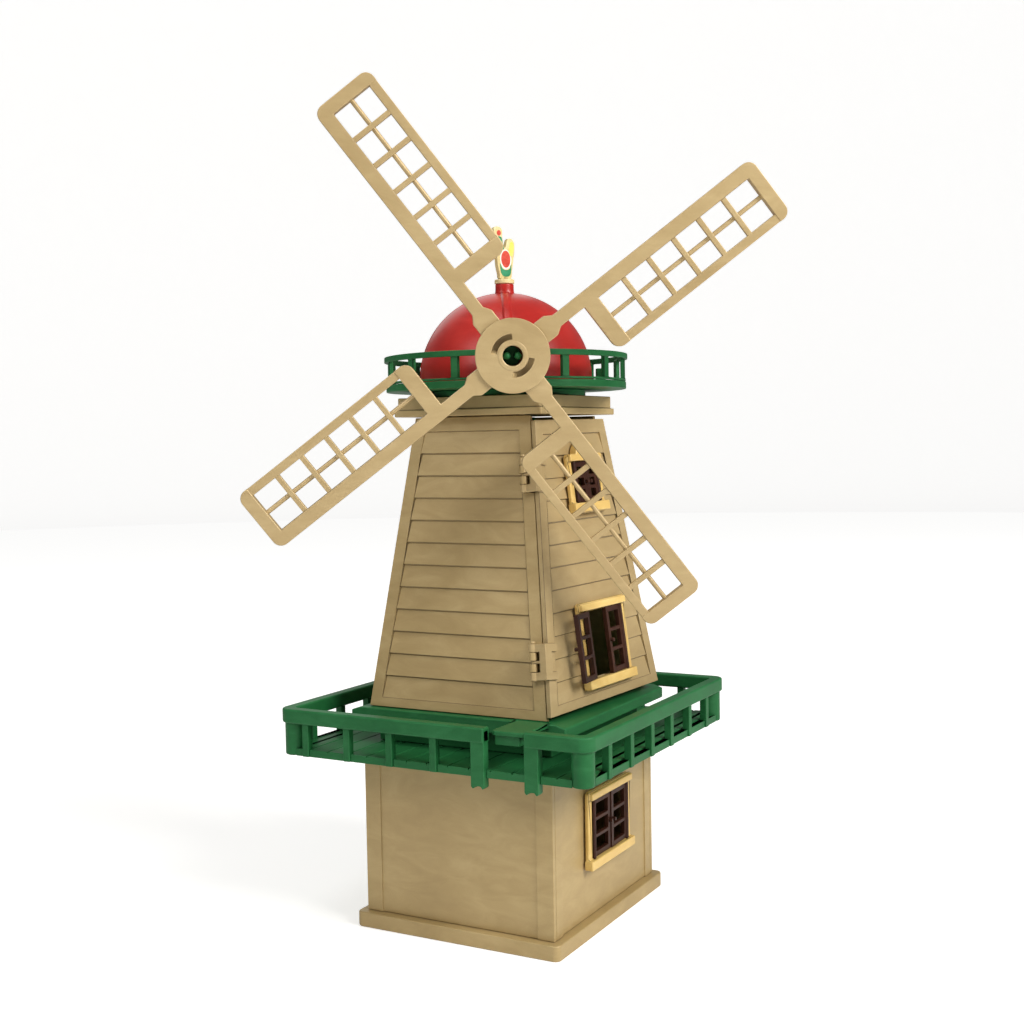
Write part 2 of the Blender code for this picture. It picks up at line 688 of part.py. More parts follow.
def add_tower():
    lean = lean_of(FOOT_Y, HEAD_Y)
    tall = (TOWER_HEAD - TOWER_FOOT) / math.cos(lean) - GAP
    skin = WALL + GAP
    left = straight_edge(-FOOT_X, -HEAD_X, tall)
    right = straight_edge(FOOT_X - skin, HEAD_X - skin, tall)
    hinge = hinge_frame()
    front = face_frame(0, FOOT_Y, TOWER_FOOT, lean)
    wall = boarded_wall(tall, left, right, FOOT_STRIP, tall - TOP_STRIP)
    to_front = front.inverted() @ hinge
    lugs = []
    pin_holes = []
    for foot in BRACKET_HEIGHTS:
        for low in (foot + KNUCKLE_TALL + GAP, foot + BRACKET_TALL - 2 * KNUCKLE_TALL - GAP):
            high = low + KNUCKLE_TALL
            lugs.append(moved(hinge_knuckle(low, high), to_front))
            web_low = (-0.8 * KNUCKLE, low + 0.1 * MM, -PIN_OUT - MM)
            web_high = (0.5 * KNUCKLE, high - 0.1 * MM, -0.4 * MM)
            lugs.append(moved(box(web_low, web_high), to_front))
        pin_holes.append(moved(pin_hole(foot), to_front))
    add_node("tower_front_wall", cut(fuse(wall, *lugs), *pin_holes), paints["tan"], front)

    back = face_frame(math.pi, FOOT_Y, TOWER_FOOT, lean)
    full = straight_edge(FOOT_X, HEAD_X, tall)
    back_wall = boarded_wall(tall, left, full, FOOT_STRIP, tall - TOP_STRIP)
    add_node("tower_back_wall", back_wall, paints["tan"], back)

    side_lean = lean_of(FOOT_X, HEAD_X)
    side_tall = (TOWER_HEAD - TOWER_FOOT) / math.cos(side_lean) - GAP
    inset = WALL / math.cos(lean) + GAP
    side = face_frame(math.radians(270), FOOT_X, TOWER_FOOT, side_lean)
    low_edge = straight_edge(-FOOT_Y + inset, -HEAD_Y + inset, side_tall)
    high_edge = straight_edge(FOOT_Y - inset, HEAD_Y - inset, side_tall)
    wall = boarded_wall(side_tall, low_edge, high_edge, FOOT_STRIP, side_tall - TOP_STRIP)
    wall = cut(wall, *[window_hole(*window[:4]) for window in TOWER_WINDOWS])
    add_node("tower_left_wall", wall, paints["tan"], side)
    for window, name, opened in zip(TOWER_WINDOWS, ("lower", "upper"), ((3, 165), (0, 12))):
        add_window(f"left_{name}_window", side, *window[:4], opened, arched=window[4])

    for name, foot in zip(("lower", "upper"), BRACKET_HEIGHTS):
        top = foot + BRACKET_TALL
        pin = rod(PIN_RADIUS, (0, foot - 0.6 * MM, 0), (0, top + 0.6 * MM, 0), 14)
        head = rod(PIN_HEAD, (0, top + 0.4 * MM, 0), (0, top + 1.6 * MM, 0), 14)
        add_node(f"door_pin_{name}", fuse(pin, head), paints["tan_light"], hinge, smooth=True)


def door_straps():
    """The door's two brackets in the hinge frame: straps round the corner that end in knuckles."""
    corner = PIN_INSET + STRAP_WRAP
    edge = PIN_INSET - MM
    straps = []
    for foot in BRACKET_HEIGHTS:
        head = foot + BRACKET_TALL
        for low in (foot, head - KNUCKLE_TALL):
            high = low + KNUCKLE_TALL
            straps.append(box((edge, low, -PIN_OUT - 8 * MM), (corner, high, STRAP_FACE)))
            straps.append(box((0, low, -STRAP_BACK), (corner, high, STRAP_FACE)))
            straps.append(hinge_knuckle(low, high))
        middle = (foot + head) / 2
        half = (BRACKET_TALL - 4 * KNUCKLE_TALL - 4 * GAP) / 2
        face_low = (PIN_INSET - 3 * MM, foot + MM, -STRAP_BACK)
        straps.append(box(face_low, (corner, head - MM, STRAP_FACE)))
        straps.append(box((edge, foot + MM, -PIN_OUT - 2 * MM), (corner, head - MM, STRAP_FACE)))
        straps.append(box((0, middle - half, -STRAP_BACK), (corner, middle + half, STRAP_FACE)))
    return straps


def add_door():
    side_lean = lean_of(FOOT_X, HEAD_X)
    side_tall = (TOWER_HEAD - TOWER_FOOT) / math.cos(side_lean)
    tall = side_tall - DOOR_FOOT_GAP - DOOR_HEAD_GAP
    side = face_frame(math.radians(90), FOOT_X, TOWER_FOOT, side_lean)
    wall_frame = side @ Matrix.Translation((0, DOOR_FOOT_GAP, 0))
    slope = (FOOT_Y - HEAD_Y) / side_tall
    foot_half = FOOT_Y - slope * DOOR_FOOT_GAP
    head_half = HEAD_Y + slope * DOOR_HEAD_GAP
    inset = WALL / math.cos(lean_of(FOOT_Y, HEAD_Y)) + 2 * GAP
    left = straight_edge(-foot_half, -head_half, tall)
    right = straight_edge(foot_half - inset, head_half - inset, tall)
    wall = boarded_wall(tall, left, right, FOOT_STRIP, tall - TOP_STRIP)
    windows = [(across, up - DOOR_FOOT_GAP, *rest) for across, up, *rest in TOWER_WINDOWS]
    wall = cut(wall, *[window_hole(*window[:4]) for window in windows])

    hinge = hinge_frame()
    door = moved(wall, hinge.inverted() @ wall_frame)
    door = cut(fuse(door, *door_straps()), *map(pin_hole, BRACKET_HEIGHTS))
    swing = hinge @ Matrix.Rotation(-DOOR_AJAR, 4, "Y")
    add_node("tower_door", door, paints["tan_light"], swing)
    carrier = swing @ hinge.inverted()
    for window, name, opened in zip(windows, ("lower", "upper"), ((168, 6), (3, 2))):
        add_window(f"door_{name}_window", wall_frame, *window[:4], opened, carrier, window[4])


def add_slab():
    foot = TOWER_HEAD + GAP
    flange_top = foot + SLAB_FLANGE
    inner = SLAB_HALF - SLAB_INSET
    flange_edge = rounded(-SLAB_HALF, -SLAB_HALF, SLAB_HALF, SLAB_HALF, SLAB_CORNER)
    flange = plate([flange_edge], foot, flange_top)
    upper = plate([rounded(-inner, -inner, inner, inner, SLAB_CORNER)], flange_top - MM, SLAB_TOP)
    hole = rod(PIVOT + GAP, (0, 0, foot - MM), (0, 0, SLAB_TOP + MM), 40)
    add_node("tower_slab", cut(fuse(flange, upper), hole), paints["tan"])
    neck = ring(NECK, NECK - NECK_WALL, SLAB_TOP + GAP, GALLERY_UNDER - GAP)
    add_node("cap_neck", neck, paints["green"], smooth=True)


# Cap


def cap_frame(height):
    return Matrix.Translation((0, 0, height)) @ Matrix.Rotation(CAP_YAW, 4, "Z")


def rotor_frame():
    return face_frame(CAP_YAW, HUB_OUT, HUB_HEIGHT, -AXLE_DROOP)


def in_cap(mesh):
    """A mesh drawn in the world, moved to the cap's frame."""
    return moved(mesh, cap_frame(GALLERY_UNDER).inverted())


def dome_profile(steps=14):
    lowest = math.asin(DOME_HOLE / DOME)
    inner_radius = DOME - DOME_WALL
    inner_lowest = math.asin(DOME_HOLE / inner_radius)
    foot = GALLERY_FLOOR + GAP
    outer = arc((0, DOME_CENTRE), DOME, 0, math.pi / 2 - lowest, steps)
    inner = arc((0, DOME_CENTRE), inner_radius, math.pi / 2 - inner_lowest, 0, steps)
    return [(DOME, foot), *outer, *inner, (inner_radius, foot)]


def add_gallery():
    frame = cap_frame(GALLERY_UNDER)
    profile = [(0, GALLERY_FLOOR), (GALLERY_RADIUS, GALLERY_FLOOR)]
    profile += [(GALLERY_RADIUS, GALLERY_UNDER), (0, GALLERY_UNDER)]
    floor = turned(profile, 56)
    hole = rod(PIVOT_SPIGOT + GAP, (0, 0, GALLERY_UNDER - MM), (0, 0, GALLERY_FLOOR + MM), 40)
    lugs = []
    for out in (-LUG_OUT, LUG_OUT):
        low = (out - LUG_X, -LUG_Y, GALLERY_FLOOR - MM)
        high = (out + LUG_X, LUG_Y, GALLERY_FLOOR + LUG_TALL)
        lugs.append(moved(box(low, high), Matrix.Rotation(CAP_YAW, 4, "Z")))
    floor = in_cap(cut(fuse(floor, *lugs), hole))
    add_node("gallery_floor", floor, paints["green"], frame, smooth=True)

    low = GALLERY_RAIL_TOP - GALLERY_RAIL_TALL
    rail_out = GALLERY_RADIUS + MM
    rail = in_cap(ring(rail_out, rail_out - GALLERY_RAIL_WIDTH, low, GALLERY_RAIL_TOP, 56))
    gate = box((-AXLE_GATE, -2 * GALLERY_RADIUS, 0), (AXLE_GATE, 0, 2 * GALLERY_RADIUS))
    rail = cut(rail, gate)
    gate_turn = math.asin((AXLE_GATE + 2 * MM) / GALLERY_RADIUS)
    turns = [2 * math.pi * i / GALLERY_POSTS for i in range(1, GALLERY_POSTS)]
    posts = []
    for angle in (*turns, gate_turn, -gate_turn):
        out = GALLERY_RADIUS - 0.4 * MM
        post_low = (-GALLERY_POST_HALF, -out, GALLERY_FLOOR + GAP)
        post_high = (GALLERY_POST_HALF, -out + GALLERY_POST_DEEP, low + MM)
        turn = Matrix.Rotation(CAP_YAW + angle, 4, "Z")
        posts.append(in_cap(moved(box(post_low, post_high), turn)))
    sole_out = GALLERY_RADIUS - 0.2 * MM
    sole = ring(sole_out, sole_out - 3 * MM, GALLERY_FLOOR + GAP, GALLERY_FLOOR + SOLE_TALL, 56)
    add_node("gallery_rail", fuse(rail, in_cap(sole), *posts), paints["green"], frame, smooth=True)


def add_dome():
    frame = cap_frame(GALLERY_UNDER)
    shell = in_cap(turned(dome_profile(), 48))
    rib_foot, rib_head = math.radians(12), math.radians(82.8)
    rib = arc((0, DOME_CENTRE), DOME + RIB_HALF, rib_foot, rib_head, 12)
    rib += arc((0, DOME_CENTRE), DOME - RIB_HALF, rib_head, rib_foot, 12)
    rib = plate([rib], -RIB_WIDE / 2, RIB_WIDE / 2)
    stand = Matrix(((0, 0, 1, 0), (-1, 0, 0, 0), (0, 1, 0, 0), (0, 0, 0, 1)))
    rib.transform(Matrix.Translation((0, 0, -GALLERY_UNDER)) @ stand)
    to_rotor = frame.inverted() @ rotor_frame()
    bore = moved(rod(HOUSING + GAP, (0, 0, -80 * MM), (0, 0, 20 * MM), 40), to_rotor)
    far = 2 * DOME
    for name, near, away in (("front", -far, -GAP / 2), ("back", GAP / 2, far)):
        half = shared(shell, box((-far, near, -far), (far, away, far)))
        if name == "front":
            half = cut(fuse(half, rib), bore)
        add_node(f"dome_{name}", half, paints["red"], frame, smooth=True)

    boss_foot = DOME_CENTRE + DOME + GAP + 0.2 * MM
    peg = DOME_HOLE - GAP
    profile = [(0, BOSS_TOP), (BOSS, BOSS_TOP), (BOSS, boss_foot)]
    profile += [(peg, boss_foot), (peg, boss_foot - 5 * MM), (0, boss_foot - 5 * MM)]
    well = rod(WELL, (0, 0, BOSS_TOP - 5 * MM), (0, 0, BOSS_TOP + MM), 20)
    boss = in_cap(cut(turned(profile, 32), well))
    add_node("dome_boss", boss, paints["red"], frame, smooth=True)


def add_axle():
    rotor = rotor_frame()
    cap = cap_frame(GALLERY_UNDER)
    housing = fuse(
        rod(HOUSING, (0, 0, -66 * MM), (0, 0, -50 * MM), 40),
        rod(HOUSING, (0, 0, -50.5 * MM), (0, 0, -16 * MM), 40, HOUSING_NOSE),
    )
    housing = cut(housing, rod(AXLE + GAP, (0, 0, -70 * MM), (0, 0, 0), 32))
    add_node("axle_housing", housing, paints["red"], rotor, smooth=True)

    axle = rod(AXLE, (0, 0, -122 * MM), (0, 0, -2.2 * MM), 32)
    split = box((-AXLE_SPLIT, -8 * MM, -14 * MM), (AXLE_SPLIT, 8 * MM, 0))
    add_node("sail_axle", cut(axle, split), paints["green"], rotor, smooth=True)

    foot, top = GALLERY_FLOOR + GAP - GALLERY_UNDER, BLOCK_TOP - GALLERY_UNDER
    block = box((-BLOCK_HALF, -12 * MM, foot), (BLOCK_HALF, 12 * MM, top))
    socket = rod(AXLE + GAP, (0, 0, -124 * MM), (0, 0, -60 * MM), 32)
    block = cut(block, moved(socket, cap.inverted() @ rotor))
    add_node("axle_block", block, paints["green"], cap)


def add_pivot():
    frame = cap_frame(GALLERY_UNDER)
    stem = ring(PIVOT, PIVOT_SPIGOT, PIVOT_FOOT, GALLERY_UNDER - GAP, 40)
    add_node("cap_pivot", in_cap(stem), paints["green"], frame, smooth=True)
    washer = ring(RETAINER, PIVOT + GAP, RETAINER_FOOT, TOWER_HEAD - 0.8 * MM, 40)
    add_node("cap_retainer", in_cap(washer), paints["green"], frame, smooth=True)


def cockerel_outline():
    """The cockerel's edge above its foot: up its back and tail, over its head and down its breast."""
    tail = [(4.3, 0.0), (5.7, 5.1), (6.8, 10.9), (7.7, 15.4), (8.3, 20.4), (8.0, 23.2)]
    back = [(6.6, 25.1), (4.5, 25.8), (2.4, 25.0), (1.2, 22.6), (0.4, 20.2), (-0.5, 19.4)]
    neck = [(-1.3, 20.6), (-1.8, 23.0), (-2.3, 25.6)]
    head = [(-2.2, 28.4), (-2.5, 30.6), (-4.0, 32.0), (-6.2, 32.4), (-8.4, 31.8), (-9.5, 30.2)]
    throat = [(-9.6, 28.2), (-8.5, 25.6), (-8.7, 22.4), (-9.5, 19.2), (-9.2, 16.9)]
    breast = [(-7.8, 14.6), (-7.1, 11.4), (-6.5, 6.9), (-5.3, 2.9), (-4.3, 0.0)]
    outline = (*tail, *back, *neck, *head, *throat, *breast)
    return [(x * MM, y * MM) for x, y in outline]


def add_finial():
    frame = cap_frame(FINIAL_DISC_TOP - FINIAL_THICK) @ Matrix.Rotation(COCKEREL_TURN, 4, "Z")
    profile = [(0, FINIAL_THICK), (FINIAL_DISC, FINIAL_THICK), (FINIAL_DISC, 0), (0, 0)]
    peg = rod(FINIAL_PEG, (0, 0, -4 * MM), (0, 0, MM), 20)
    slot_x, slot_y = TENON + GAP, COCKEREL_HALF + GAP
    slot = box((-slot_x, -slot_y, MM), (slot_x, slot_y, 4 * MM))
    disc = cut(fuse(turned(profile, 32), peg), slot)
    add_node("finial_disc", disc, paints["cream"], frame, smooth=True)
    foot = FINIAL_THICK + GAP
    bird = plate([cockerel_outline()], -COCKEREL_HALF, COCKEREL_HALF)
    bird.transform(Matrix.Translation((0, 0, foot)) @ Matrix.Rotation(math.radians(90), 4, "X"))
    tenon = box((-TENON, -COCKEREL_HALF, MM + GAP), (TENON, COCKEREL_HALF, foot + MM))
    add_node("cockerel", fuse(bird, tenon), paints["cream"], frame)


# Rotor


def sail_mesh():
    """One sail: its arm along +X, its lattice on the -Y side, its front at z = 0."""
    far = SAIL_OPEN_FAR + SAIL_STILE
    heel = SAIL_INNER - SAIL_HEEL
    tip = SAIL_OUTER + SAIL_END
    quarter = math.pi / 2
    r = SAIL_CORNER
    paddle = [(BEAM_START, PADDLE), (SHOULDER, PADDLE)]
    edge = [*paddle, (WAIST, BEAM)]
    edge += arc((tip - r, BEAM - r), r, quarter, 0, 5)
    edge += arc((tip - r, -far + r), r, 0, -quarter, 5)
    edge += arc((heel + r, -far + r), r, -quarter, -2 * quarter, 5)
    edge += [(heel, -BEAM), (WAIST, -BEAM), *((x, -y) for x, y in reversed(paddle))]
    hole = rectangle(SAIL_INNER, -SAIL_OPEN_FAR, SAIL_OUTER, -SAIL_OPEN_NEAR)
    frame = plate([edge, hole], -SAIL_THICK, 0)
    pitch = (SAIL_OUTER - SAIL_INNER) / SAIL_CELLS
    bars = []
    for i in range(1, SAIL_CELLS):
        x = SAIL_INNER + i * pitch
        low = (x - SAIL_BAR / 2, -SAIL_OPEN_FAR - MM, -SAIL_THICK + SAIL_BAR_BACK)
        high = (x + SAIL_BAR / 2, -SAIL_OPEN_NEAR + MM, -SAIL_BAR_SINK)
        bars.append(box(low, high))
    middle = -(SAIL_OPEN_NEAR + SAIL_OPEN_FAR) / 2
    deep = -SAIL_THICK + SAIL_ROD_BACK
    long_rod = rod(SAIL_ROD, (SAIL_INNER - MM, middle, deep), (SAIL_OUTER + MM, middle, deep), 10)
    return fuse(frame, *bars, long_rod)


def add_hub():
    frame = rotor_frame()
    chamfer = 0.4 * MM
    profile = [(HUB_HOLE, 0), (HUB - chamfer, 0), (HUB, -chamfer), (HUB, -HUB_FACE)]
    profile += [(HUB_SLEEVE, -HUB_FACE), (HUB_SLEEVE, -SLEEVE_DEEP), (HUB_HOLE, -SLEEVE_DEEP)]
    slots = []
    for start in SLOT_STARTS:
        end = start + SLOT_SPAN
        outline = arc((0, 0), SLOT_OUTER, start, end, 8) + arc((0, 0), SLOT_INNER, end, start, 8)
        slots.append(plate([outline], -HUB_FACE - MM, MM))
    disc = cut(turned(profile, 48), *slots)
    add_node("hub_disc", disc, paints["tan_light"], frame, smooth=True)
    back = -SAIL_FRONT - SAIL_THICK - GAP
    rear = ring(HUB_REAR, HUB_SLEEVE + GAP, back - HUB_REAR_THICK, back, 40)
    add_node("hub_back", rear, paints["tan_light"], frame, smooth=True)


def add_sails():
    for i in range(4):
        turn = Matrix.Rotation(SAIL_TURN + i * math.pi / 2, 4, "Z")
        place = rotor_frame() @ Matrix.Translation((0, 0, -SAIL_FRONT)) @ turn
        add_node(f"sail_{i + 1}", sail_mesh(), paints["tan_light"], place)


clear_scene()
windmill = bpy.data.collections.new("windmill")
bpy.context.scene.collection.children.link(windmill)
paints = {name: make_paint(name, *look) for name, look in PAINTS.items()}

add_base()
add_ground_floor()
add_deck_floor()
add_deck_railing()
add_plinth()
add_tower()
add_door()
add_slab()
add_gallery()
add_dome()
add_axle()
add_pivot()
add_finial()
add_hub()
add_sails()
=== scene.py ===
"""Looks of a toy windmill in moulded plastic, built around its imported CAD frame."""

import json
import math

import bmesh
import bpy
from mathutils import Matrix, Vector


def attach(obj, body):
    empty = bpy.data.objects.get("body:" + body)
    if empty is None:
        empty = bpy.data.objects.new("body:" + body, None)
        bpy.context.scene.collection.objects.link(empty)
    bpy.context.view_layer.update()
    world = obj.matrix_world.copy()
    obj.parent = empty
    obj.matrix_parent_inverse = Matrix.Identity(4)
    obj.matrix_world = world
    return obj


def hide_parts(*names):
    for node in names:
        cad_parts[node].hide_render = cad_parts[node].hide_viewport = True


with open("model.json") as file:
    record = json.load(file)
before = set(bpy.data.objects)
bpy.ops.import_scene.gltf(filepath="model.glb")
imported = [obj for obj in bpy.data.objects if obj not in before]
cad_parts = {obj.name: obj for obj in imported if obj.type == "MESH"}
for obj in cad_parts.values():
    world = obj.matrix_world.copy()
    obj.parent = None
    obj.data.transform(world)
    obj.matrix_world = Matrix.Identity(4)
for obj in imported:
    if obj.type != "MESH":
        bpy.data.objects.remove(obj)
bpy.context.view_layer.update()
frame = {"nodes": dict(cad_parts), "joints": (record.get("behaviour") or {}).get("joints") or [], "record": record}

MM = 0.001
RECORD = frame["record"]
NODES = frame["nodes"]
BODY_OF = {n: body for body, members in RECORD["behaviour"]["bodies"].items() for n in members}
SLOT_OF = {part["node"]: part["material_slot"] for part in RECORD["subparts"]}
JOINTS = {joint["name"]: joint for joint in frame["joints"]}

# Sizes that repeat the CAD part's own
DECK_UNDER = 110.0 * MM
RAIL_HALF = 105.5 * MM
RAIL_CORNER = 8.0 * MM
RAIL_WIDTH = 7.5 * MM
RAIL_TOP = 138.6 * MM
RAIL_TALL = 8.8 * MM
POST = 4.6 * MM
POST_FACE = 104.0 * MM
CORNER_POST = 6.5 * MM
POST_PITCH = 30.2 * MM
GAP_LEFT = 39.3 * MM
GAP_RIGHT = 64.8 * MM
GAP_POST = 8.8 * MM
GAP_POST_FOOT = 103.5 * MM
GALLERY_FLOOR = 334.6 * MM
DOME = 54.0 * MM
DOME_CENTRE = 337.6 * MM
DOME_WALL = 2.4 * MM
DOME_HOLE = 3.2 * MM
BOSS = 6.2 * MM
BOSS_TOP = 397.2 * MM
WELL = 2.3 * MM
HOUSING = 12.0 * MM
FINIAL_UNDER = 397.4 * MM
COCKEREL_FOOT = 3.1 * MM
COCKEREL_HALF = 1.5 * MM
COCKEREL_TURN = math.radians(42)
CAP_YAW = math.radians(31.0)
HUB = 20.9 * MM
HUB_FACE = 1.3 * MM
HUB_SLEEVE = 8.3 * MM
HUB_HOLE = 5.7 * MM
SLEEVE_DEEP = 14.0 * MM
SLOT_OUTER = 12.1 * MM
SLOT_INNER = 8.9 * MM
SLOT_STARTS = (math.radians(92), math.radians(268))
SLOT_SPAN = math.radians(84)
AXLE = 5.2 * MM
AXLE_TAIL = -122.0 * MM
AXLE_SPLIT_FOOT = -14.0 * MM
SAIL_TURN = math.radians(37.4)
SAIL_FRONT = 1.6 * MM
SAIL_THICK = 6.0 * MM
BEAM = 3.8 * MM
BEAM_START = 12.9 * MM
PADDLE = 6.6 * MM
SHOULDER = 27.0 * MM
WAIST = 31.2 * MM
SAIL_INNER = 57.2 * MM
SAIL_OUTER = 162.0 * MM
SAIL_OPEN_NEAR = 4.4 * MM
SAIL_OPEN_FAR = 28.9 * MM
SAIL_END = 7.6 * MM
SAIL_HEEL = 9.3 * MM
SAIL_STILE = 5.1 * MM
SAIL_CORNER = 5.5 * MM
SAIL_CELLS = 6
SAIL_BAR = 3.0 * MM
SAIL_BAR_SINK = 0.7 * MM
SAIL_ROD = 1.35 * MM
SAIL_ROD_BACK = 2.2 * MM


# ---------------------------------------------------------------- materials

def node_of(tree, kind, **values):
    node = tree.nodes.new(kind)
    for key, value in values.items():
        setattr(node, key, value)
    return node


def noise_at(tree, where, scale, detail=3.0, rough=0.5, distortion=0.0):
    noise = node_of(tree, "ShaderNodeTexNoise")
    noise.inputs["Scale"].default_value = scale
    noise.inputs["Detail"].default_value = detail
    noise.inputs["Roughness"].default_value = rough
    noise.inputs["Distortion"].default_value = distortion
    tree.links.new(where, noise.inputs["Vector"])
    return noise.outputs["Fac"]


def stretched(tree, where, scale):
    mapping = node_of(tree, "ShaderNodeMapping")
    mapping.inputs["Scale"].default_value = scale
    tree.links.new(where, mapping.inputs["Vector"])
    return mapping.outputs["Vector"]


def ranged(tree, value, low, high, to_low, to_high):
    node = node_of(tree, "ShaderNodeMapRange")
    for name, number in (("From Min", low), ("From Max", high), ("To Min", to_low), ("To Max", to_high)):
        node.inputs[name].default_value = number
    tree.links.new(value, node.inputs["Value"])
    return node.outputs["Result"]


def maths(tree, operation, first, second):
    node = node_of(tree, "ShaderNodeMath", operation=operation)
    for socket, value in zip(node.inputs, (first, second)):
        if isinstance(value, (int, float)):
            socket.default_value = value
        else:
            tree.links.new(value, socket)
    return node.outputs["Value"]


def mixed(tree, share, first, second):
    node = node_of(tree, "ShaderNodeMix", data_type="RGBA")
    for socket, value in ((node.inputs[0], share), (node.inputs[6], first), (node.inputs[7], second)):
        if isinstance(value, (int, float)):
            socket.default_value = value
        elif isinstance(value, tuple):
            socket.default_value = (*value, 1.0)
        else:
            tree.links.new(value, socket)
    return node.outputs[2]


SPECK = 0.16
SPECK_SCALE = 2600.0
# Size of the patches in the painted highlight on the corner strips
EDGE_HIGHLIGHT_SCALE = 120.0
# How strongly the painted shade darkens the strips in recesses
CREASE_SHADE = 0.8
DIMPLE_SCALE = 420.0
RELIEF = 0.1
RELIEF_DEPTH = 0.6 * MM


# One keyword sets how strongly the corner strips are lightened, which is a painted highlight
def plastic(name, dark, body, pale, rough=(0.38, 0.48), metal=0.0, cloud=16.0, flow=60.0, edge_highlight=0.2,
            specular=0.5):
    """Moulded plastic: clouds, level flow marks, a speckle, a painted highlight on the edges, painted shade in the
    recesses and uneven gloss.
    """
    material = bpy.data.materials.new(name)
    material.use_nodes = True
    tree = material.node_tree
    shader = tree.nodes["Principled BSDF"]
    shader.inputs["Metallic"].default_value = metal
    shader.inputs["Specular IOR Level"].default_value = specular
    where = node_of(tree, "ShaderNodeTexCoord").outputs["Object"]
    clouds = noise_at(tree, where, cloud, 3.0, 0.5, 0.3)
    marks = noise_at(tree, stretched(tree, where, (0.55, 0.55, 1.5)), flow, 5.0, 0.62, 1.1)
    specks = noise_at(tree, where, SPECK_SCALE, 1.0, 0.5)
    shade = maths(tree, "ADD", maths(tree, "MULTIPLY", clouds, 0.5), maths(tree, "MULTIPLY", marks, 0.5))
    shade = maths(tree, "ADD", shade, maths(tree, "MULTIPLY", maths(tree, "SUBTRACT", specks, 0.5), SPECK))
    colour = mixed(tree, ranged(tree, shade, 0.36, 0.5, 0.0, 1.0), dark, body)
    colour = mixed(tree, ranged(tree, shade, 0.5, 0.66, 0.0, 1.0), colour, pale)
    # Painted highlight: the strips on corners are lightened towards the pale colour, in patches
    edge = node_of(tree, "ShaderNodeAttribute", attribute_name="edge").outputs["Fac"]
    patches = ranged(tree, noise_at(tree, where, EDGE_HIGHLIGHT_SCALE, 3.0), 0.4, 0.62, 0.3, 1.0)
    edge_highlight_mask = maths(tree, "MULTIPLY", edge, patches)
    colour = mixed(tree, maths(tree, "MULTIPLY", edge_highlight_mask, edge_highlight), colour, pale)
    # Painted shade: the strips in recesses are darkened towards a third of the dark colour
    crease = node_of(tree, "ShaderNodeAttribute", attribute_name="crease").outputs["Fac"]
    shade_colour = tuple(0.3 * c for c in dark)
    colour = mixed(tree, maths(tree, "MULTIPLY", crease, CREASE_SHADE), colour, shade_colour)
    tree.links.new(colour, shader.inputs["Base Color"])
    gloss = maths(tree, "ADD", maths(tree, "MULTIPLY", marks, 0.5), maths(tree, "MULTIPLY", clouds, 0.5))
    tree.links.new(ranged(tree, gloss, 0.35, 0.65, *rough), shader.inputs["Roughness"])
    relief = node_of(tree, "ShaderNodeBump")
    relief.inputs["Strength"].default_value = RELIEF
    relief.inputs["Distance"].default_value = RELIEF_DEPTH
    dimple = noise_at(tree, where, DIMPLE_SCALE, 2.0, 0.5)
    height = maths(tree, "ADD", maths(tree, "MULTIPLY", dimple, 0.35), maths(tree, "MULTIPLY", marks, 0.65))
    tree.links.new(height, relief.inputs["Height"])
    tree.links.new(relief.outputs["Normal"], shader.inputs["Normal"])
    return material


# Each slot's dark, middle and pale colour
MATERIALS = {
    "tan": plastic(
        "tan_plastic", (0.372, 0.264, 0.114), (0.418, 0.302, 0.134), (0.482, 0.358, 0.170),
        metal=0.18, rough=(0.36, 0.46),
    ),
    "tan_light": plastic(
        "tan_light_plastic", (0.400, 0.287, 0.134), (0.440, 0.322, 0.155), (0.50, 0.376, 0.190),
        metal=0.18, rough=(0.34, 0.44),
    ),
    "green": plastic(
        "green_plastic", (0.010, 0.096, 0.028), (0.014, 0.116, 0.034), (0.024, 0.150, 0.050),
        rough=(0.40, 0.50), edge_highlight=0.5, cloud=22.0, specular=0.2,
    ),
    "red": plastic(
        "red_plastic", (0.38, 0.010, 0.006), (0.44, 0.014, 0.009), (0.52, 0.026, 0.018),
        rough=(0.32, 0.40), cloud=18.0, specular=0.45,
    ),
    "yellow": plastic(
        "yellow_plastic", (0.60, 0.39, 0.115), (0.68, 0.46, 0.145), (0.77, 0.57, 0.22),
        rough=(0.32, 0.44),
    ),
    "brown": plastic(
        "brown_plastic", (0.024, 0.007, 0.003), (0.037, 0.011, 0.005), (0.066, 0.022, 0.011),
        rough=(0.40, 0.52), edge_highlight=0.6, specular=0.25,
    ),
    "cream": plastic(
        "cream_plastic", (0.64, 0.51, 0.22), (0.74, 0.62, 0.31), (0.82, 0.73, 0.46),
        rough=(0.32, 0.42),
    ),
}


def printed(name, dark, body, pale):
    """A colour printed on the cockerel, which is lighter than the mouldings in the same slot."""
    return plastic(name, dark, body, pale, cloud=150.0, flow=400.0, rough=(0.34, 0.44))


PRINTED = {
    "green": printed("printed_green", (0.022, 0.19, 0.085), (0.032, 0.25, 0.115), (0.055, 0.32, 0.16)),
    "red": printed("printed_red", (0.50, 0.045, 0.028), (0.62, 0.075, 0.045), (0.72, 0.13, 0.09)),
    "yellow": printed("printed_yellow", (0.74, 0.66, 0.10), (0.84, 0.77, 0.17), (0.90, 0.85, 0.32)),
    "cream": printed("printed_white", (0.76, 0.74, 0.66), (0.84, 0.83, 0.77), (0.90, 0.89, 0.85)),
}


# ---------------------------------------------------------------- shapes

def mesh_of(shape):
    mesh = bpy.data.meshes.new("shape")
    shape.to_mesh(mesh)
    shape.free()
    return mesh


def working(data):
    holder = bpy.data.objects.new("work", data)
    bpy.context.scene.collection.objects.link(holder)
    return holder


def evaluated(holder):
    """The finished mesh of a working object, which is then removed."""
    bpy.context.view_layer.update()
    graph = bpy.context.evaluated_depsgraph_get()
    mesh = bpy.data.meshes.new_from_object(holder.evaluated_get(graph))
    bpy.data.objects.remove(holder)
    return mesh


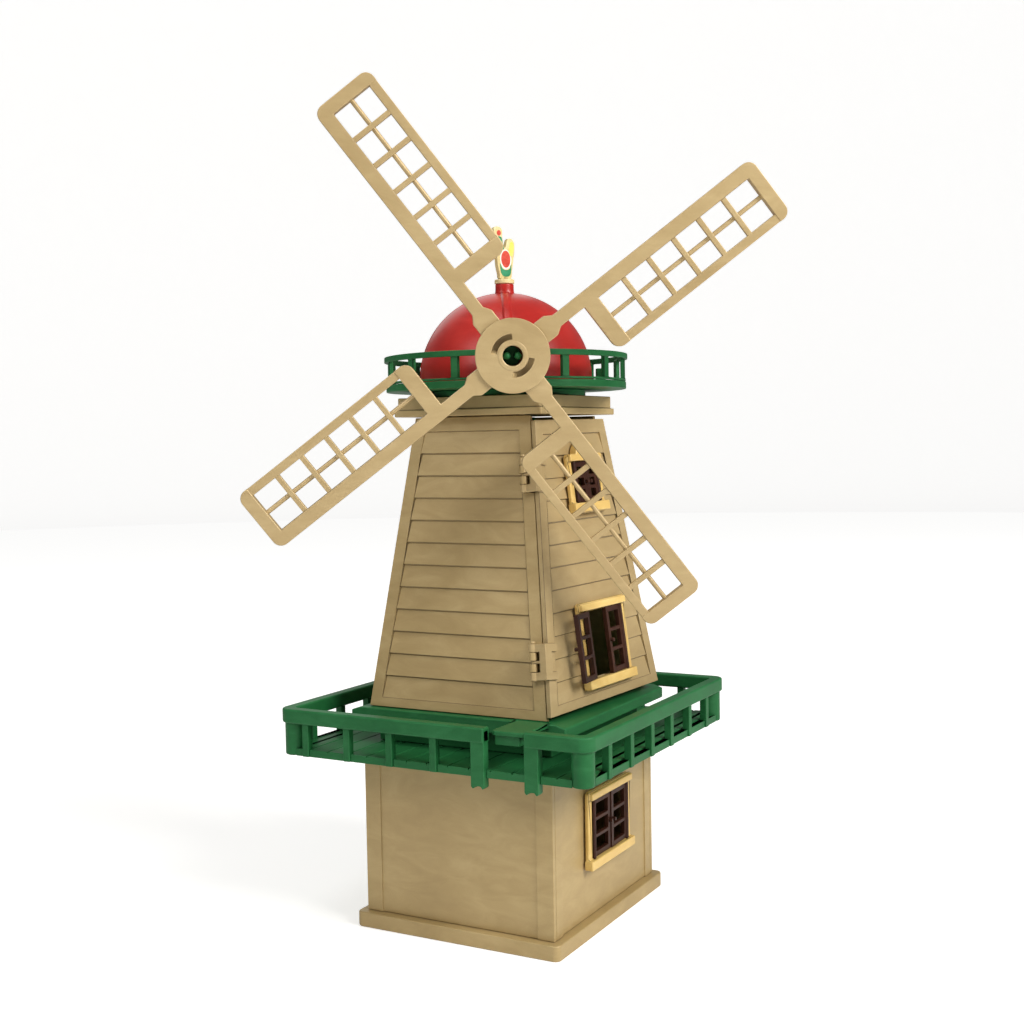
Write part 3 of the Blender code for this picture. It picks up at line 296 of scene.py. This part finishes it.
def cut(base, *cutters):
    """The mesh left when each cutter is taken from base."""
    holder = working(base)
    helpers = [working(cutter) for cutter in cutters]
    for helper in helpers:
        modifier = holder.modifiers.new("cut", "BOOLEAN")
        modifier.operation = "DIFFERENCE"
        modifier.solver = "EXACT"
        modifier.object = helper
    mesh = evaluated(holder)
    for helper in helpers:
        bpy.data.objects.remove(helper)
    return mesh


def moved(mesh, matrix):
    mesh.transform(matrix)
    return mesh


def gathered(*meshes):
    """Several closed meshes as one."""
    shape = bmesh.new()
    for mesh in meshes:
        shape.from_mesh(mesh)
    return mesh_of(shape)


def soften(mesh, width, segments=2, sharp=32.0):
    """Rounds every sharp edge of a closed mesh.

    "edge" marks the strips on corners, which the materials lighten as a painted highlight, and "crease" those in
    recesses, which they darken as painted shade. Nothing keeps the strips apart, so they fold over each other
    where a face is too narrow for them.
    """
    shape = bmesh.new()
    shape.from_mesh(mesh)
    bmesh.ops.remove_doubles(shape, verts=shape.verts, dist=2e-6)
    bmesh.ops.dissolve_limit(shape, angle_limit=math.radians(0.8), verts=shape.verts, edges=shape.edges)
    # Marks the strips on corners for the painted highlight
    highlight_layer = shape.faces.layers.float.new("edge")
    # Marks the strips in recesses for the painted shade
    shade_layer = shape.faces.layers.float.new("crease")
    limit = math.radians(sharp)
    edges = [e for e in shape.edges if len(e.link_faces) == 2 and e.calc_face_angle() > limit]
    if edges:
        made = bmesh.ops.bevel(
            shape, geom=edges, offset=width, offset_type="OFFSET", segments=segments, profile=0.5,
            affect="EDGES", clamp_overlap=False, miter_outer="SHARP",
        )
        for face in made["faces"]:
            if face.is_valid:
                bend = sum(e.calc_face_angle_signed(0.0) for e in face.edges if len(e.link_faces) == 2)
                face[highlight_layer if bend > 0 else shade_layer] = 1.0
    return smoothed(mesh_of(shape))


def smoothed(mesh, angle=50.0):
    mesh.shade_smooth()
    mesh.set_sharp_from_angle(angle=math.radians(angle))
    return mesh


def plate(outlines, low, high):
    """A flat plate between two heights. The first outline is its edge, and the others are holes."""
    curve = bpy.data.curves.new("outline", "CURVE")
    curve.dimensions = "2D"
    curve.fill_mode = "BOTH"
    curve.extrude = (high - low) / 2
    for outline in outlines:
        spline = curve.splines.new("POLY")
        spline.points.add(len(outline) - 1)
        for point, (x, y) in zip(spline.points, outline):
            point.co = (x, y, 0.0, 1.0)
        spline.use_cyclic_u = True
    mesh = evaluated(working(curve))
    bpy.data.curves.remove(curve)
    shape = bmesh.new()
    shape.from_mesh(mesh)
    bmesh.ops.remove_doubles(shape, verts=shape.verts, dist=1e-5)
    bmesh.ops.translate(shape, vec=(0, 0, (low + high) / 2), verts=shape.verts)
    bmesh.ops.recalc_face_normals(shape, faces=shape.faces)
    return mesh_of(shape)


def box(low, high):
    low, high = Vector(low), Vector(high)
    shape = bmesh.new()
    bmesh.ops.create_cube(shape, size=1.0)
    bmesh.ops.scale(shape, vec=high - low, verts=shape.verts)
    bmesh.ops.translate(shape, vec=(low + high) / 2, verts=shape.verts)
    return mesh_of(shape)


def turned(profile, steps, start=0.0, sweep=2 * math.pi):
    """A closed (radius, height) outline turned about Z, right round or with flat ends where it stops."""
    shape = bmesh.new()
    whole = sweep > 2 * math.pi - 1e-6
    rings = []
    for i in range(steps if whole else steps + 1):
        angle = start + sweep * i / steps
        rings.append([shape.verts.new((r * math.cos(angle), r * math.sin(angle), z)) for r, z in profile])
    count = len(profile)
    pairs = list(zip(rings, rings[1:])) + ([(rings[-1], rings[0])] if whole else [])
    for near, far in pairs:
        for i in range(count):
            j = (i + 1) % count
            shape.faces.new((near[i], near[j], far[j], far[i]))
    if not whole:
        shape.faces.new(rings[0])
        shape.faces.new(list(reversed(rings[-1])))
    bmesh.ops.remove_doubles(shape, verts=shape.verts, dist=1e-6)
    bmesh.ops.recalc_face_normals(shape, faces=shape.faces)
    return mesh_of(shape)


def rod(radius, start, end, steps=32, rounding=0.0):
    """A round bar from start to end, with its far end rounded over."""
    start, end = Vector(start), Vector(end)
    along = end - start
    tip = [(radius - rounding + rounding * math.cos(a), along.length - rounding + rounding * math.sin(a))
           for a in (math.pi / 2 * i / 6 for i in range(7))]
    profile = [(0, 0), (radius, 0), *tip, (0, along.length)]
    turn = Vector((0, 0, 1)).rotation_difference(along).to_matrix().to_4x4()
    return smoothed(moved(turned(profile, steps), Matrix.Translation(start) @ turn))


def arc(centre, radius, start, end, steps):
    angles = [start + (end - start) * i / steps for i in range(steps + 1)]
    return [(centre[0] + radius * math.cos(a), centre[1] + radius * math.sin(a)) for a in angles]


def circle(radius, steps, centre=(0, 0)):
    return arc(centre, radius, 0, 2 * math.pi, steps)[:-1]


def rounded(half, radius, steps):
    """A square outline with round corners, from the near edge's right end right round to its left end."""
    quarter = math.pi / 2
    points = []
    for sign_x, sign_y, turn in ((1, -1, 3), (1, 1, 0), (-1, 1, 1), (-1, -1, 2)):
        centre = (sign_x * (half - radius), sign_y * (half - radius))
        points += arc(centre, radius, turn * quarter, (turn + 1) * quarter, steps)
    return points


def flowing(points, steps=5):
    """A smooth closed outline through the points."""
    count = len(points)
    outline = []
    for i in range(count):
        a, b, c, d = (Vector(points[(i + k) % count]) for k in (-1, 0, 1, 2))
        for step in range(steps):
            t = step / steps
            bend = (2 * a - 5 * b + 4 * c - d) * t * t
            twist = (3 * b - a - 3 * c + d) * t ** 3
            outline.append(tuple(0.5 * ((2 * b) + (c - a) * t + bend + twist)))
    return outline


def show(name, mesh, body, slot, replaced=(), palette=MATERIALS):
    """One visible piece of the windmill, riding on a body."""
    mesh.materials.clear()
    mesh.materials.append(palette[slot])
    piece = bpy.data.objects.new(name, mesh)
    bpy.context.scene.collection.objects.link(piece)
    normals = piece.modifiers.new("normals", "WEIGHTED_NORMAL")
    normals.mode = "FACE_AREA"
    normals.weight = 60
    normals.keep_sharp = True
    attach(piece, body)
    if replaced:
        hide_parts(*replaced)
    return piece


def refine(node, width, segments=2):
    """The CAD node's own shape with rounded edges and its moulded plastic."""
    mesh = soften(NODES[node].data, width, segments)
    return show(f"{node}_moulded", mesh, BODY_OF[node], SLOT_OF[node], (node,))


# ---------------------------------------------------------------- frames of the turning pieces

def cap_frame(height):
    return Matrix.Translation((0, 0, height)) @ Matrix.Rotation(CAP_YAW, 4, "Z")


def rotor_frame():
    """X across the hub, Y up it and Z out of its front, on the sails' own axis."""
    joint = JOINTS["sail_spin"]
    out = Vector(joint["axis"]).normalized()
    across = Vector((0, 0, 1)).cross(out).normalized()
    turn = Matrix((across, out.cross(across), out)).transposed().to_4x4()
    return Matrix.Translation(joint["pos_m"]) @ turn


# ---------------------------------------------------------------- deck railing

def post_places():
    """Each slim railing post as (x, y)."""
    line = POST_FACE - POST / 2
    side = [POST_PITCH * (i - 2.5) for i in range(6)]
    front = [GAP_LEFT - GAP_POST / 2 - POST_PITCH * i for i in range(1, 5)]
    places = [(x, -line) for x in front]
    places += [(x, line) for x in side]
    places += [(x, y) for x in (-line, line) for y in side]
    return places


def gate_post(x):
    """A broad post beside the gateway, flush with the rail, with two teeth at its foot."""
    half, foot = GAP_POST / 2, GAP_POST_FOOT
    tooth = half - 1.3 * MM
    shape = [(x - half, foot + 1.3 * MM), (x - tooth, foot), (x - 1.9 * MM, foot + 1.7 * MM)]
    shape += [(x + 1.9 * MM, foot + 1.7 * MM), (x + tooth, foot), (x + half, foot + 1.3 * MM)]
    shape += [(x + half, RAIL_TOP - 1.6 * MM), (x - half, RAIL_TOP - 1.6 * MM)]
    post = plate([shape], POST_FACE - POST, RAIL_HALF - 0.3 * MM)
    return soften(moved(post, Matrix.Rotation(math.radians(90), 4, "X")), 0.5 * MM, 3)


def add_railing():
    inner = RAIL_HALF - RAIL_WIDTH
    outline = [(GAP_RIGHT, -RAIL_HALF), *rounded(RAIL_HALF, RAIL_CORNER, 12), (GAP_LEFT, -RAIL_HALF)]
    outline += [(GAP_LEFT, -inner), *reversed(rounded(inner, 3 * MM, 6)), (GAP_RIGHT, -inner)]
    parts = [soften(plate([outline], RAIL_TOP - RAIL_TALL, RAIL_TOP), 1.2 * MM, 4)]
    half = POST / 2
    for x, y in post_places():
        low = (x - half, y - half, DECK_UNDER)
        parts.append(soften(box(low, (x + half, y + half, RAIL_TOP - 2 * MM)), 0.5 * MM, 3))
    parts += [gate_post(GAP_LEFT - GAP_POST / 2), gate_post(GAP_RIGHT + GAP_POST / 2)]
    out = POST_FACE - CORNER_POST
    for sign_x in (-1, 1):
        for sign_y in (-1, 1):
            head = (sign_x * out, sign_y * out, RAIL_TOP - RAIL_TALL / 2)
            foot = (sign_x * out, sign_y * out, DECK_UNDER)
            parts.append(rod(CORNER_POST, head, foot, 56, 1.0 * MM))
    show("deck_railing_moulded", gathered(*parts), "house", "green", ("deck_railing",))


# ---------------------------------------------------------------- cap

def dome_profile(lip=0.0, steps=30):
    outer_radius, inner_radius = DOME + lip, DOME - DOME_WALL
    lowest, inner_lowest = math.asin(DOME_HOLE / outer_radius), math.asin(DOME_HOLE / inner_radius)
    foot = GALLERY_FLOOR + 0.3 * MM
    outer = arc((0, DOME_CENTRE), outer_radius, 0, math.pi / 2 - lowest, steps)
    inner = arc((0, DOME_CENTRE), inner_radius, math.pi / 2 - inner_lowest, 0, steps)
    return [(outer_radius, foot), *outer, *inner, (inner_radius, foot)]


def dome_rib():
    """The raised band down the dome's front, with soft shoulders."""
    half = [(3.3, -0.1), (2.75, 0.12), (2.4, 0.5), (2.0, 0.85), (1.4, 1.0)]
    section = [(-u, h) for u, h in half] + [(0, 1.0)] + list(reversed(half)) + [(3.3, -1.0), (-3.3, -1.0)]
    foot, head, steps = math.radians(12), math.radians(83.4), 40
    shape = bmesh.new()
    rings = []
    for i in range(steps + 1):
        angle = foot + (head - foot) * i / steps
        ring = []
        for u, h in section:
            out = DOME + h * MM
            place = (u * MM, -out * math.cos(angle), DOME_CENTRE + out * math.sin(angle))
            ring.append(shape.verts.new(place))
        rings.append(ring)
    count = len(section)
    for near, far in zip(rings, rings[1:]):
        for i in range(count):
            shape.faces.new((near[i], near[(i + 1) % count], far[(i + 1) % count], far[i]))
    shape.faces.new(rings[0])
    shape.faces.new(list(reversed(rings[-1])))
    bmesh.ops.recalc_face_normals(shape, faces=shape.faces)
    return smoothed(mesh_of(shape))


def add_dome():
    turn = Matrix.Rotation(CAP_YAW, 4, "Z")
    seam = 0.15 * MM
    front = moved(turned(dome_profile(), 72, math.pi, math.pi), turn @ Matrix.Translation((0, -seam, 0)))
    bore = rod(HOUSING + 0.3 * MM, (0, 0, -80 * MM), (0, 0, 20 * MM), 64)
    front = cut(front, moved(bore, rotor_frame()))
    front = gathered(smoothed(front, 30), moved(dome_rib(), turn))
    show("dome_front_moulded", front, "cap", "red", ("dome_front",))
    lip_sweep = math.radians(1.7)
    back = turned(dome_profile(), 72, 0.0, math.pi)
    lips = [turned(dome_profile(0.45 * MM), 2, start, lip_sweep) for start in (0.0, math.pi - lip_sweep)]
    back = gathered(*(smoothed(part, 30) for part in (back, *lips)))
    back = moved(back, turn @ Matrix.Translation((0, seam, 0)))
    show("dome_back_moulded", back, "cap", "red", ("dome_back",))

    foot = DOME_CENTRE + math.sqrt(DOME ** 2 - BOSS ** 2)
    peg = DOME_HOLE - 0.3 * MM
    profile = [(WELL, BOSS_TOP - 5 * MM), (WELL, BOSS_TOP - 0.3 * MM), (WELL + 0.3 * MM, BOSS_TOP)]
    profile += arc((BOSS - 1.1 * MM, BOSS_TOP - 0.7 * MM), 0.7 * MM, math.pi / 2, 0, 5)
    profile += [(BOSS - 0.4 * MM, foot + 2.6 * MM), (BOSS - 0.3 * MM, foot + 1.4 * MM)]
    profile += [(BOSS - 0.1 * MM, foot + 0.7 * MM), (BOSS, foot + 0.2 * MM), (BOSS, foot)]
    profile += [(peg, foot + 0.4 * MM), (peg, foot - 4.6 * MM), (0, foot - 4.6 * MM), (0, BOSS_TOP - 5 * MM)]
    show("dome_boss_moulded", smoothed(moved(turned(profile, 64), turn)), "cap", "red", ("dome_boss",))


def add_axle():
    """The sails' axle, whose front end is split into two round prongs."""
    shaft = rod(AXLE, (0, 0, AXLE_TAIL), (0, 0, AXLE_SPLIT_FOOT), 48)
    prong = 2.05 * MM
    middle = AXLE - prong
    foot, tip = AXLE_SPLIT_FOOT - MM, -2.6 * MM
    prongs = [rod(prong, (x, 0, foot), (x, 0, tip), 32, prong) for x in (-middle, middle)]
    mesh = moved(gathered(shaft, *prongs), rotor_frame())
    show("sail_axle_moulded", mesh, "cap", "green", ("sail_axle",))


# ---------------------------------------------------------------- weathercock

# The bird's outline, in mm from the middle of its foot
COCKEREL = (
    (4.3, 0.0), (5.7, 5.1), (6.8, 10.9), (7.7, 15.4), (8.3, 20.4), (8.0, 23.2), (6.6, 25.1),
    (4.5, 25.8), (2.4, 25.0), (1.2, 22.6), (0.4, 20.2), (-0.5, 19.4), (-1.3, 20.6), (-1.8, 23.0),
    (-2.3, 25.6), (-2.2, 28.4), (-2.5, 30.6), (-4.0, 32.0), (-6.2, 32.4), (-8.4, 31.8), (-9.5, 30.2),
    (-9.6, 28.2), (-8.5, 25.6), (-8.7, 22.4), (-9.5, 19.2), (-9.2, 16.9), (-7.8, 14.6), (-7.1, 11.4),
    (-6.5, 6.9), (-5.3, 2.9), (-4.3, 0.0),
)


def cockerel_part(outline, half, width):
    """A piece of the flat bird, standing on the finial disc."""
    mesh = plate([[(x * MM, y * MM) for x, y in outline]], -half, half)
    stand = Matrix.Translation((0, 0, COCKEREL_FOOT)) @ Matrix.Rotation(math.radians(90), 4, "X")
    place = cap_frame(FINIAL_UNDER) @ Matrix.Rotation(COCKEREL_TURN, 4, "Z") @ stand
    return moved(soften(mesh, width, 3), place)


def oval(x, y, half_x, half_y, steps=28):
    return [(x + half_x * u, y + half_y * v) for u, v in circle(1.0, steps)]


def add_cockerel():
    body = flowing(COCKEREL, 4)
    bird = cockerel_part(body, COCKEREL_HALF, 0.5 * MM)
    tenon = box((-1.6 * MM, -COCKEREL_HALF, 1.3 * MM), (1.6 * MM, COCKEREL_HALF, 4.1 * MM))
    place = cap_frame(FINIAL_UNDER) @ Matrix.Rotation(COCKEREL_TURN, 4, "Z")
    show("cockerel_moulded", gathered(bird, moved(tenon, place)), "weathercock", "cream", ("cockerel",))
    print_half, rim_half = COCKEREL_HALF + 0.22 * MM, COCKEREL_HALF + 0.1 * MM
    neck = [
        (-7.1, 25.6), (-4.2, 26.1), (-2.9, 24.4), (-2.4, 21.8), (-1.8, 19.9), (-1.3, 18.6), (-4.4, 17.9),
        (-7.4, 17.8), (-7.9, 21.4),
    ]
    crescent = [
        (-5.0, 9.4), (-3.2, 6.6), (0.0, 5.6), (3.2, 6.6), (4.7, 9.4), (4.3, 4.2), (2.4, 1.9), (-2.2, 1.7),
        (-4.3, 4.2),
    ]
    tail = [
        (2.6, 17.6), (3.4, 20.6), (4.0, 23.0), (5.6, 23.6), (6.9, 22.4), (7.0, 19.2), (6.2, 15.6),
        (4.4, 14.4),
    ]
    prints = (
        ("comb", oval(-5.6, 28.3, 1.7, 1.7), print_half, "red"),
        ("neck", flowing(neck), print_half, "green"),
        ("wattle", oval(-5.6, 16.3, 1.0, 0.9), print_half, "red"),
        ("wing_rim", oval(0, 12.2, 4.9, 6.3), rim_half, "cream"),
        ("wing", oval(0, 12.4, 4.0, 5.3), print_half, "red"),
        ("breast", flowing(crescent), print_half, "green"),
        ("tail", flowing(tail), print_half, "yellow"),
    )
    for name, outline, half, slot in prints:
        patch = cockerel_part(outline, half, 0.08 * MM)
        show(f"cockerel_{name}_colour", patch, "weathercock", slot, (), PRINTED)


# ---------------------------------------------------------------- sails

def slot_ramp(angle, onward):
    """The sloping floor at one end of a hub slot, falling away from the hub's front."""
    run, deep = 2.6 * MM, 2.3 * MM
    low, high = 0.05 * MM, SLOT_OUTER - SLOT_INNER - 0.05 * MM
    outline = [(-0.6 * MM, -0.25 * MM), (0.1 * MM, -0.25 * MM), (run, -deep), (-0.6 * MM, -deep)]
    wedge = plate([outline], low, high)
    along = Vector((-math.sin(angle), math.cos(angle), 0)) * onward
    outward = Vector((math.cos(angle), math.sin(angle), 0))
    turn = Matrix((along, Vector((0, 0, 1)), outward)).transposed().to_4x4()
    start = outward * SLOT_INNER
    wedge.transform(Matrix.Translation(start) @ turn)
    if turn.determinant() < 0:
        wedge.flip_normals()
    return wedge


def add_hub():
    outlines = [circle(HUB, 120), circle(HUB_HOLE, 48)]
    for start in SLOT_STARTS:
        end = start + SLOT_SPAN
        outlines.append(arc((0, 0), SLOT_OUTER, start, end, 14) + arc((0, 0), SLOT_INNER, end, start, 14))
    disc = soften(plate(outlines, -HUB_FACE, 0), 0.35 * MM, 3)
    sleeve = [(HUB_HOLE, -SLEEVE_DEEP), (HUB_SLEEVE, -SLEEVE_DEEP), (HUB_SLEEVE, 0.05 * MM)]
    sleeve += [(HUB_SLEEVE - 0.3 * MM, 0.3 * MM), (HUB_HOLE + 0.6 * MM, 0.3 * MM), (HUB_HOLE, -0.2 * MM)]
    sleeve = smoothed(turned(sleeve, 64))
    ramps = [slot_ramp(SLOT_STARTS[0] + SLOT_SPAN, -1), slot_ramp(SLOT_STARTS[1], 1)]
    mesh = moved(gathered(disc, sleeve, *ramps), rotor_frame())
    show("hub_disc_moulded", mesh, "rotor", "tan_light", ("hub_disc",))


def sail_mesh():
    """One sail: its arm along +X, its lattice on the -Y side, its front at z = 0."""
    far = SAIL_OPEN_FAR + SAIL_STILE
    heel = SAIL_INNER - SAIL_HEEL
    tip = SAIL_OUTER + SAIL_END
    quarter = math.pi / 2
    r = SAIL_CORNER
    edge = [(BEAM_START, -PADDLE), (SHOULDER, -PADDLE), (WAIST, -BEAM), (heel, -BEAM)]
    edge += arc((heel + r, -far + r), r, 2 * quarter, 3 * quarter, 8)
    edge += [(SAIL_INNER, -far), (SAIL_INNER, -SAIL_OPEN_NEAR)]
    edge += [(SAIL_OUTER, -SAIL_OPEN_NEAR), (SAIL_OUTER, -far)]
    edge += arc((tip - r, -far + r), r, -quarter, 0, 8)
    edge += arc((tip - r, BEAM - r), r, 0, quarter, 8)
    edge += [(WAIST, BEAM), (SHOULDER, PADDLE), (BEAM_START, PADDLE)]
    parts = [soften(plate([edge], -SAIL_THICK, 0), 0.55 * MM, 3)]
    stile = box((SAIL_INNER - 3 * MM, -far + 0.15 * MM, -SAIL_THICK + 0.45 * MM),
                (SAIL_OUTER + 3 * MM, -SAIL_OPEN_FAR, -0.45 * MM))
    parts.append(soften(stile, 0.5 * MM, 3))
    pitch = (SAIL_OUTER - SAIL_INNER) / SAIL_CELLS
    for i in range(1, SAIL_CELLS):
        x = SAIL_INNER + i * pitch
        low = (x - SAIL_BAR / 2, -SAIL_OPEN_FAR - MM, -SAIL_THICK + SAIL_ROD_BACK)
        high = (x + SAIL_BAR / 2, -SAIL_OPEN_NEAR + MM, -SAIL_BAR_SINK)
        parts.append(soften(box(low, high), 0.4 * MM, 3))
    middle = -(SAIL_OPEN_NEAR + SAIL_OPEN_FAR) / 2
    deep = -SAIL_THICK + SAIL_ROD_BACK
    parts.append(rod(SAIL_ROD, (SAIL_INNER - MM, middle, deep), (SAIL_OUTER + MM, middle, deep), 20))
    return gathered(*parts)


def add_sails():
    for i in range(4):
        turn = Matrix.Rotation(SAIL_TURN + i * math.pi / 2, 4, "Z")
        place = rotor_frame() @ Matrix.Translation((0, 0, -SAIL_FRONT)) @ turn
        show(f"sail_{i + 1}_moulded", moved(sail_mesh(), place), "rotor", "tan_light", (f"sail_{i + 1}",))


# ---------------------------------------------------------------- stage

def area_light(name, azimuth, elevation, distance, size, power, colour, aim):
    light = bpy.data.lights.new(name, "AREA")
    light.shape = "DISK"
    light.size = size
    light.energy = power
    light.color = colour
    holder = bpy.data.objects.new(name, light)
    bpy.context.scene.collection.objects.link(holder)
    a, e = math.radians(azimuth), math.radians(elevation)
    back = Vector((math.sin(a) * math.cos(e), -math.cos(a) * math.cos(e), math.sin(e)))
    holder.location = Vector(aim) + back * distance
    holder.rotation_euler = (-back).to_track_quat("-Z", "Y").to_euler()


# Each light's azimuth and elevation in degrees, distance, size, power, colour and aim
LIGHTS = {
    "key": (80, 33, 1.9, 0.9, 38, (1.0, 0.975, 0.94), (0, 0, 0.2)),
    "top": (-6, 80, 1.5, 0.5, 3, (1.0, 0.985, 0.96), (0, 0, 0.3)),
    "front": (-10, 38, 1.6, 0.9, 9, (1.0, 0.985, 0.96), (0, 0, 0.15)),
    "rear": (222, 34, 2.2, 1.6, 7, (1.0, 0.985, 0.96), (0, 0, 0.25)),
}
BACKDROP = (0.93, 0.93, 0.925)
FLOOR_PALE = (0.90, 0.90, 0.895)
ROOM_LEVEL = (0.16, 0.159, 0.157)
ROOM_ABOVE = (0.24, 0.238, 0.235)
FLOOR = 4.5
SHELL = 4.6
SHELL_LIFT = 0.74
FLOOR_LIFT = (0.46, 0.80)
FLOOR_NEAR_TO_FAR = (0.4, 2.6)
# The camera, solved from the photo's edges: angles in degrees, lens in mm and places in metres
CAMERA_AZIMUTH = 28.78
CAMERA_PITCH = 3.06
CAMERA_ROLL = -1.02
CAMERA_LENS = 48.16
CAMERA_SENSOR = 36.0
CAMERA_ASIDE = 0.0022
CAMERA_HEIGHT = 0.3001
CAMERA_AWAY = 0.8697


def add_floor():
    shape = bmesh.new()
    bmesh.ops.create_circle(shape, cap_ends=True, segments=96, radius=FLOOR)
    bmesh.ops.translate(shape, vec=(0, 0, -0.0001), verts=shape.verts)
    floor = bpy.data.objects.new("floor", mesh_of(shape))
    bpy.context.scene.collection.objects.link(floor)
    paint = bpy.data.materials.new("floor_paint")
    paint.use_nodes = True
    tree = paint.node_tree
    shader = tree.nodes["Principled BSDF"]
    where = node_of(tree, "ShaderNodeTexCoord").outputs["Object"]
    cloud = noise_at(tree, where, 0.8, 2.0)
    tree.links.new(mixed(tree, cloud, FLOOR_PALE, BACKDROP), shader.inputs["Base Color"])
    shader.inputs["Roughness"].default_value = 0.9
    shader.inputs["Emission Color"].default_value = (*BACKDROP, 1.0)
    seen = node_of(tree, "ShaderNodeLightPath").outputs["Is Camera Ray"]
    reach = node_of(tree, "ShaderNodeVectorMath", operation="LENGTH")
    tree.links.new(where, reach.inputs[0])
    lift = ranged(tree, reach.outputs["Value"], *FLOOR_NEAR_TO_FAR, *FLOOR_LIFT)
    tree.links.new(maths(tree, "MULTIPLY", seen, lift), shader.inputs["Emission Strength"])
    floor.data.materials.append(paint)


def add_backdrop():
    """A pale shell round everything, which the lights reach and only the camera sees."""
    shape = bmesh.new()
    bmesh.ops.create_uvsphere(shape, u_segments=64, v_segments=32, radius=SHELL)
    bmesh.ops.reverse_faces(shape, faces=shape.faces)
    shell = bpy.data.objects.new("backdrop", mesh_of(shape))
    bpy.context.scene.collection.objects.link(shell)
    shell.data.shade_smooth()
    for ray in ("diffuse", "glossy", "transmission", "volume_scatter", "shadow"):
        setattr(shell, f"visible_{ray}", False)
    paint = bpy.data.materials.new("backdrop_paint")
    paint.use_nodes = True
    tree = paint.node_tree
    shader = tree.nodes["Principled BSDF"]
    cloud = noise_at(tree, node_of(tree, "ShaderNodeTexCoord").outputs["Object"], 0.3, 1.0)
    shader.inputs["Base Color"].default_value = (0.9, 0.9, 0.9, 1.0)
    shader.inputs["Specular IOR Level"].default_value = 0.0
    glow = mixed(tree, cloud, tuple(0.985 * c for c in BACKDROP), BACKDROP)
    tree.links.new(glow, shader.inputs["Emission Color"])
    shader.inputs["Emission Strength"].default_value = SHELL_LIFT
    shell.data.materials.append(paint)


def add_world():
    """Dim walls that light the model from all round, a little brighter overhead."""
    world = bpy.data.worlds.new("studio")
    bpy.context.scene.world = world
    world.use_nodes = True
    tree = world.node_tree
    sky = tree.nodes["Background"]
    where = node_of(tree, "ShaderNodeTexCoord").outputs["Generated"]
    split = node_of(tree, "ShaderNodeSeparateXYZ")
    tree.links.new(where, split.inputs["Vector"])
    height = ranged(tree, split.outputs["Z"], 0.0, 0.8, 0.0, 1.0)
    tree.links.new(mixed(tree, height, ROOM_LEVEL, ROOM_ABOVE), sky.inputs["Color"])


def add_camera():
    azimuth, pitch, roll = (math.radians(a) for a in (CAMERA_AZIMUTH, CAMERA_PITCH, CAMERA_ROLL))
    right = Vector((math.cos(azimuth), math.sin(azimuth), 0))
    flat = math.cos(pitch)
    ahead = Vector((-math.sin(azimuth) * flat, math.cos(azimuth) * flat, -math.sin(pitch)))
    up = right.cross(ahead)
    across = right * math.cos(roll) + up * math.sin(roll)
    rise = up * math.cos(roll) - right * math.sin(roll)
    lens = bpy.data.cameras.new("camera")
    lens.sensor_width = CAMERA_SENSOR
    lens.lens = CAMERA_LENS
    lens.clip_start = 0.05
    lens.clip_end = 40.0
    camera = bpy.data.objects.new("camera", lens)
    bpy.context.scene.collection.objects.link(camera)
    turn = Matrix((across, rise, -ahead)).transposed().to_4x4()
    level = Vector((-math.sin(azimuth), math.cos(azimuth), 0))
    place = right * CAMERA_ASIDE + Vector((0, 0, CAMERA_HEIGHT)) - level * CAMERA_AWAY
    camera.matrix_world = Matrix.Translation(place) @ turn
    bpy.context.scene.camera = camera


# ---------------------------------------------------------------- the windmill

MODELLED = {
    "deck_railing", "dome_front", "dome_back", "dome_boss", "sail_axle", "cockerel", "hub_disc",
    "sail_1", "sail_2", "sail_3", "sail_4",
}
# How far the edges of the CAD's own shapes are rounded, in mm
EDGE_WIDTHS = {
    "base_plate": 0.9, "plinth": 0.7, "tower_slab": 0.6, "deck_floor": 0.25, "gallery_rail": 0.45,
    "gallery_floor": 0.5, "cap_neck": 0.4, "hub_back": 0.4, "finial_disc": 0.5, "axle_housing": 0.4,
}
LEAF_EDGE = 0.2
FRAME_EDGE = 0.8
OTHER_EDGE = 0.3
FINE_EDGE = 0.4

add_railing()
add_dome()
add_axle()
add_cockerel()
add_hub()
add_sails()
for node in sorted(set(NODES) - MODELLED):
    if "leaf" in node or "pin" in node:
        width = LEAF_EDGE
    elif "window_frame" in node:
        width = FRAME_EDGE
    else:
        width = EDGE_WIDTHS.get(node, OTHER_EDGE)
    refine(node, width * MM, 3 if width > FINE_EDGE else 2)

add_floor()
add_backdrop()
add_world()
for name, settings in LIGHTS.items():
    area_light(name, *settings)
add_camera()
view = bpy.context.scene.view_settings
view.view_transform = "Standard"
view.look = "None"
